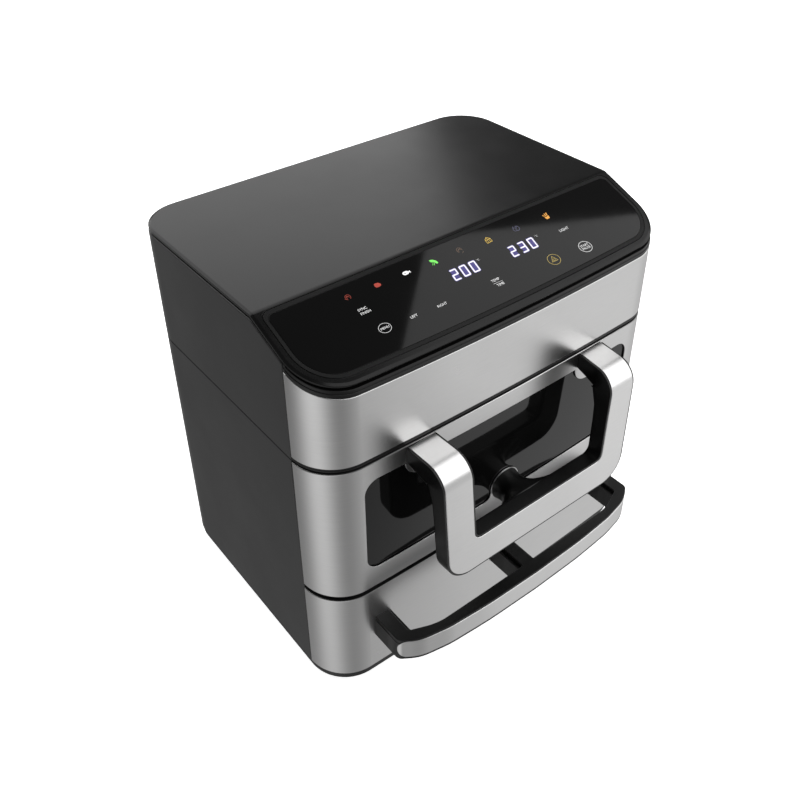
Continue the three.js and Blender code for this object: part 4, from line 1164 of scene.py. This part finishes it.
def studio_world():
    """White to the camera; round the object a dim ceiling, and a brighter surround that fades downwards."""
    world = bpy.data.worlds.new("studio")
    world.use_nodes = True
    tree = world.node_tree
    directions = add_node(tree, "TexCoord").outputs["Generated"]
    axes = add_node(tree, "SeparateXYZ", (0, directions)).outputs
    angle = add_node(tree, "Math", (0, axes["X"]), (1, axes["Y"]), operation="ARCTAN2").outputs[0]
    turn = add_node(tree, "MapRange", ("Value", angle), ("From Min", -math.pi), ("From Max", math.pi))
    ramp = add_node(tree, "ValToRGB", ("Fac", turn.outputs[0]))
    ramp.color_ramp.interpolation = "CARDINAL"
    stops = ramp.color_ramp.elements
    for azimuth, value in AROUND:
        stop = stops[0] if azimuth == -180 else stops.new(azimuth / 360 + 0.5)
        stop.color = (value, value, value, 1)
    stops[-1].color = stops[0].color

    def fade(low, high):
        limits = ("Value", axes["Z"]), ("From Min", low), ("From Max", high)
        return add_node(tree, "MapRange", *limits, interpolation_type="SMOOTHSTEP").outputs[0]

    def blend(factor, *values):
        first, second = ((v, v, v, 1) if isinstance(v, float) else v for v in values)
        return add_node(tree, "MixRGB", ("Fac", factor), ("Color1", first), ("Color2", second)).outputs[0]

    low = blend(fade(-1.1, -0.55), BELOW, ramp.outputs[0])
    surround = blend(fade(-0.12, 0.14), low, ABOVE)
    seen = add_node(tree, "LightPath").outputs["Is Camera Ray"]
    tree.links.new(blend(seen, surround, 1.0), tree.nodes["Background"].inputs["Color"])
    return world


def softbox(name, azimuth, elevation, roll, left, right, down, up, radiance):
    """Far rectangular soft light facing the object, its edges given as slopes from the direction of aim."""
    light = bpy.data.lights.new(name, "AREA")
    light.shape = "RECTANGLE"
    light.size = (left + right) * LIGHT_DISTANCE
    light.size_y = (down + up) * LIGHT_DISTANCE
    light.energy = radiance * math.pi * light.size * light.size_y
    lamp = bpy.data.objects.new(name, light)
    lamp.visible_camera = False
    a, e = math.radians(azimuth), math.radians(elevation)
    away = Vector((math.sin(a) * math.cos(e), math.cos(a) * math.cos(e), math.sin(e)))
    turn = away.to_track_quat("Z", "Y") @ Quaternion(Z, math.radians(roll))
    middle = Vector(((left - right) / 2, (up - down) / 2, 0)) * LIGHT_DISTANCE
    lamp.location = Vector((0, 0, AIM_HEIGHT)) + away * LIGHT_DISTANCE + turn @ middle
    lamp.rotation_euler = turn.to_euler()
    bpy.context.scene.collection.objects.link(lamp)


CAMERA_AT = Vector((-0.462885, -0.554615, 0.774841))
CAMERA_RIGHT = Vector((0.78445745, -0.62013866, -0.0073857))
CAMERA_UP = Vector((0.35542747, 0.43978252, 0.82478036))


def camera():
    data = bpy.data.cameras.new("camera")
    data.sensor_width = 36
    data.lens = 41.27
    data.shift_y = -0.1
    obj = bpy.data.objects.new("camera", data)
    rotation = Matrix((CAMERA_RIGHT, CAMERA_UP, CAMERA_RIGHT.cross(CAMERA_UP))).transposed().to_4x4()
    obj.matrix_world = Matrix.Translation(CAMERA_AT) @ rotation
    bpy.context.scene.collection.objects.link(obj)
    bpy.context.scene.camera = obj


upper_band()
panel_trim()
side_shells()
top_cover()
panel_bezel()
control_glass()
displays()
food_symbols()
touch_keys()
base()
feet()
rear_vent()
main_front()
lower_front()
main_handle()
lower_handle()
tub("main_basket", "main_tub", "main_drawer")
tub("lower_basket", "lower_tub", "lower_drawer")
crisper("crisper_plate_left", "crisper_left", "main_drawer", 7, 9)
crisper("crisper_plate_right", "crisper_right", "main_drawer", 7, 9)
crisper("crisper_plate_lower", "lower_crisper", "lower_drawer", 14, 9)
finish_packed_nodes()
studio()
camera()
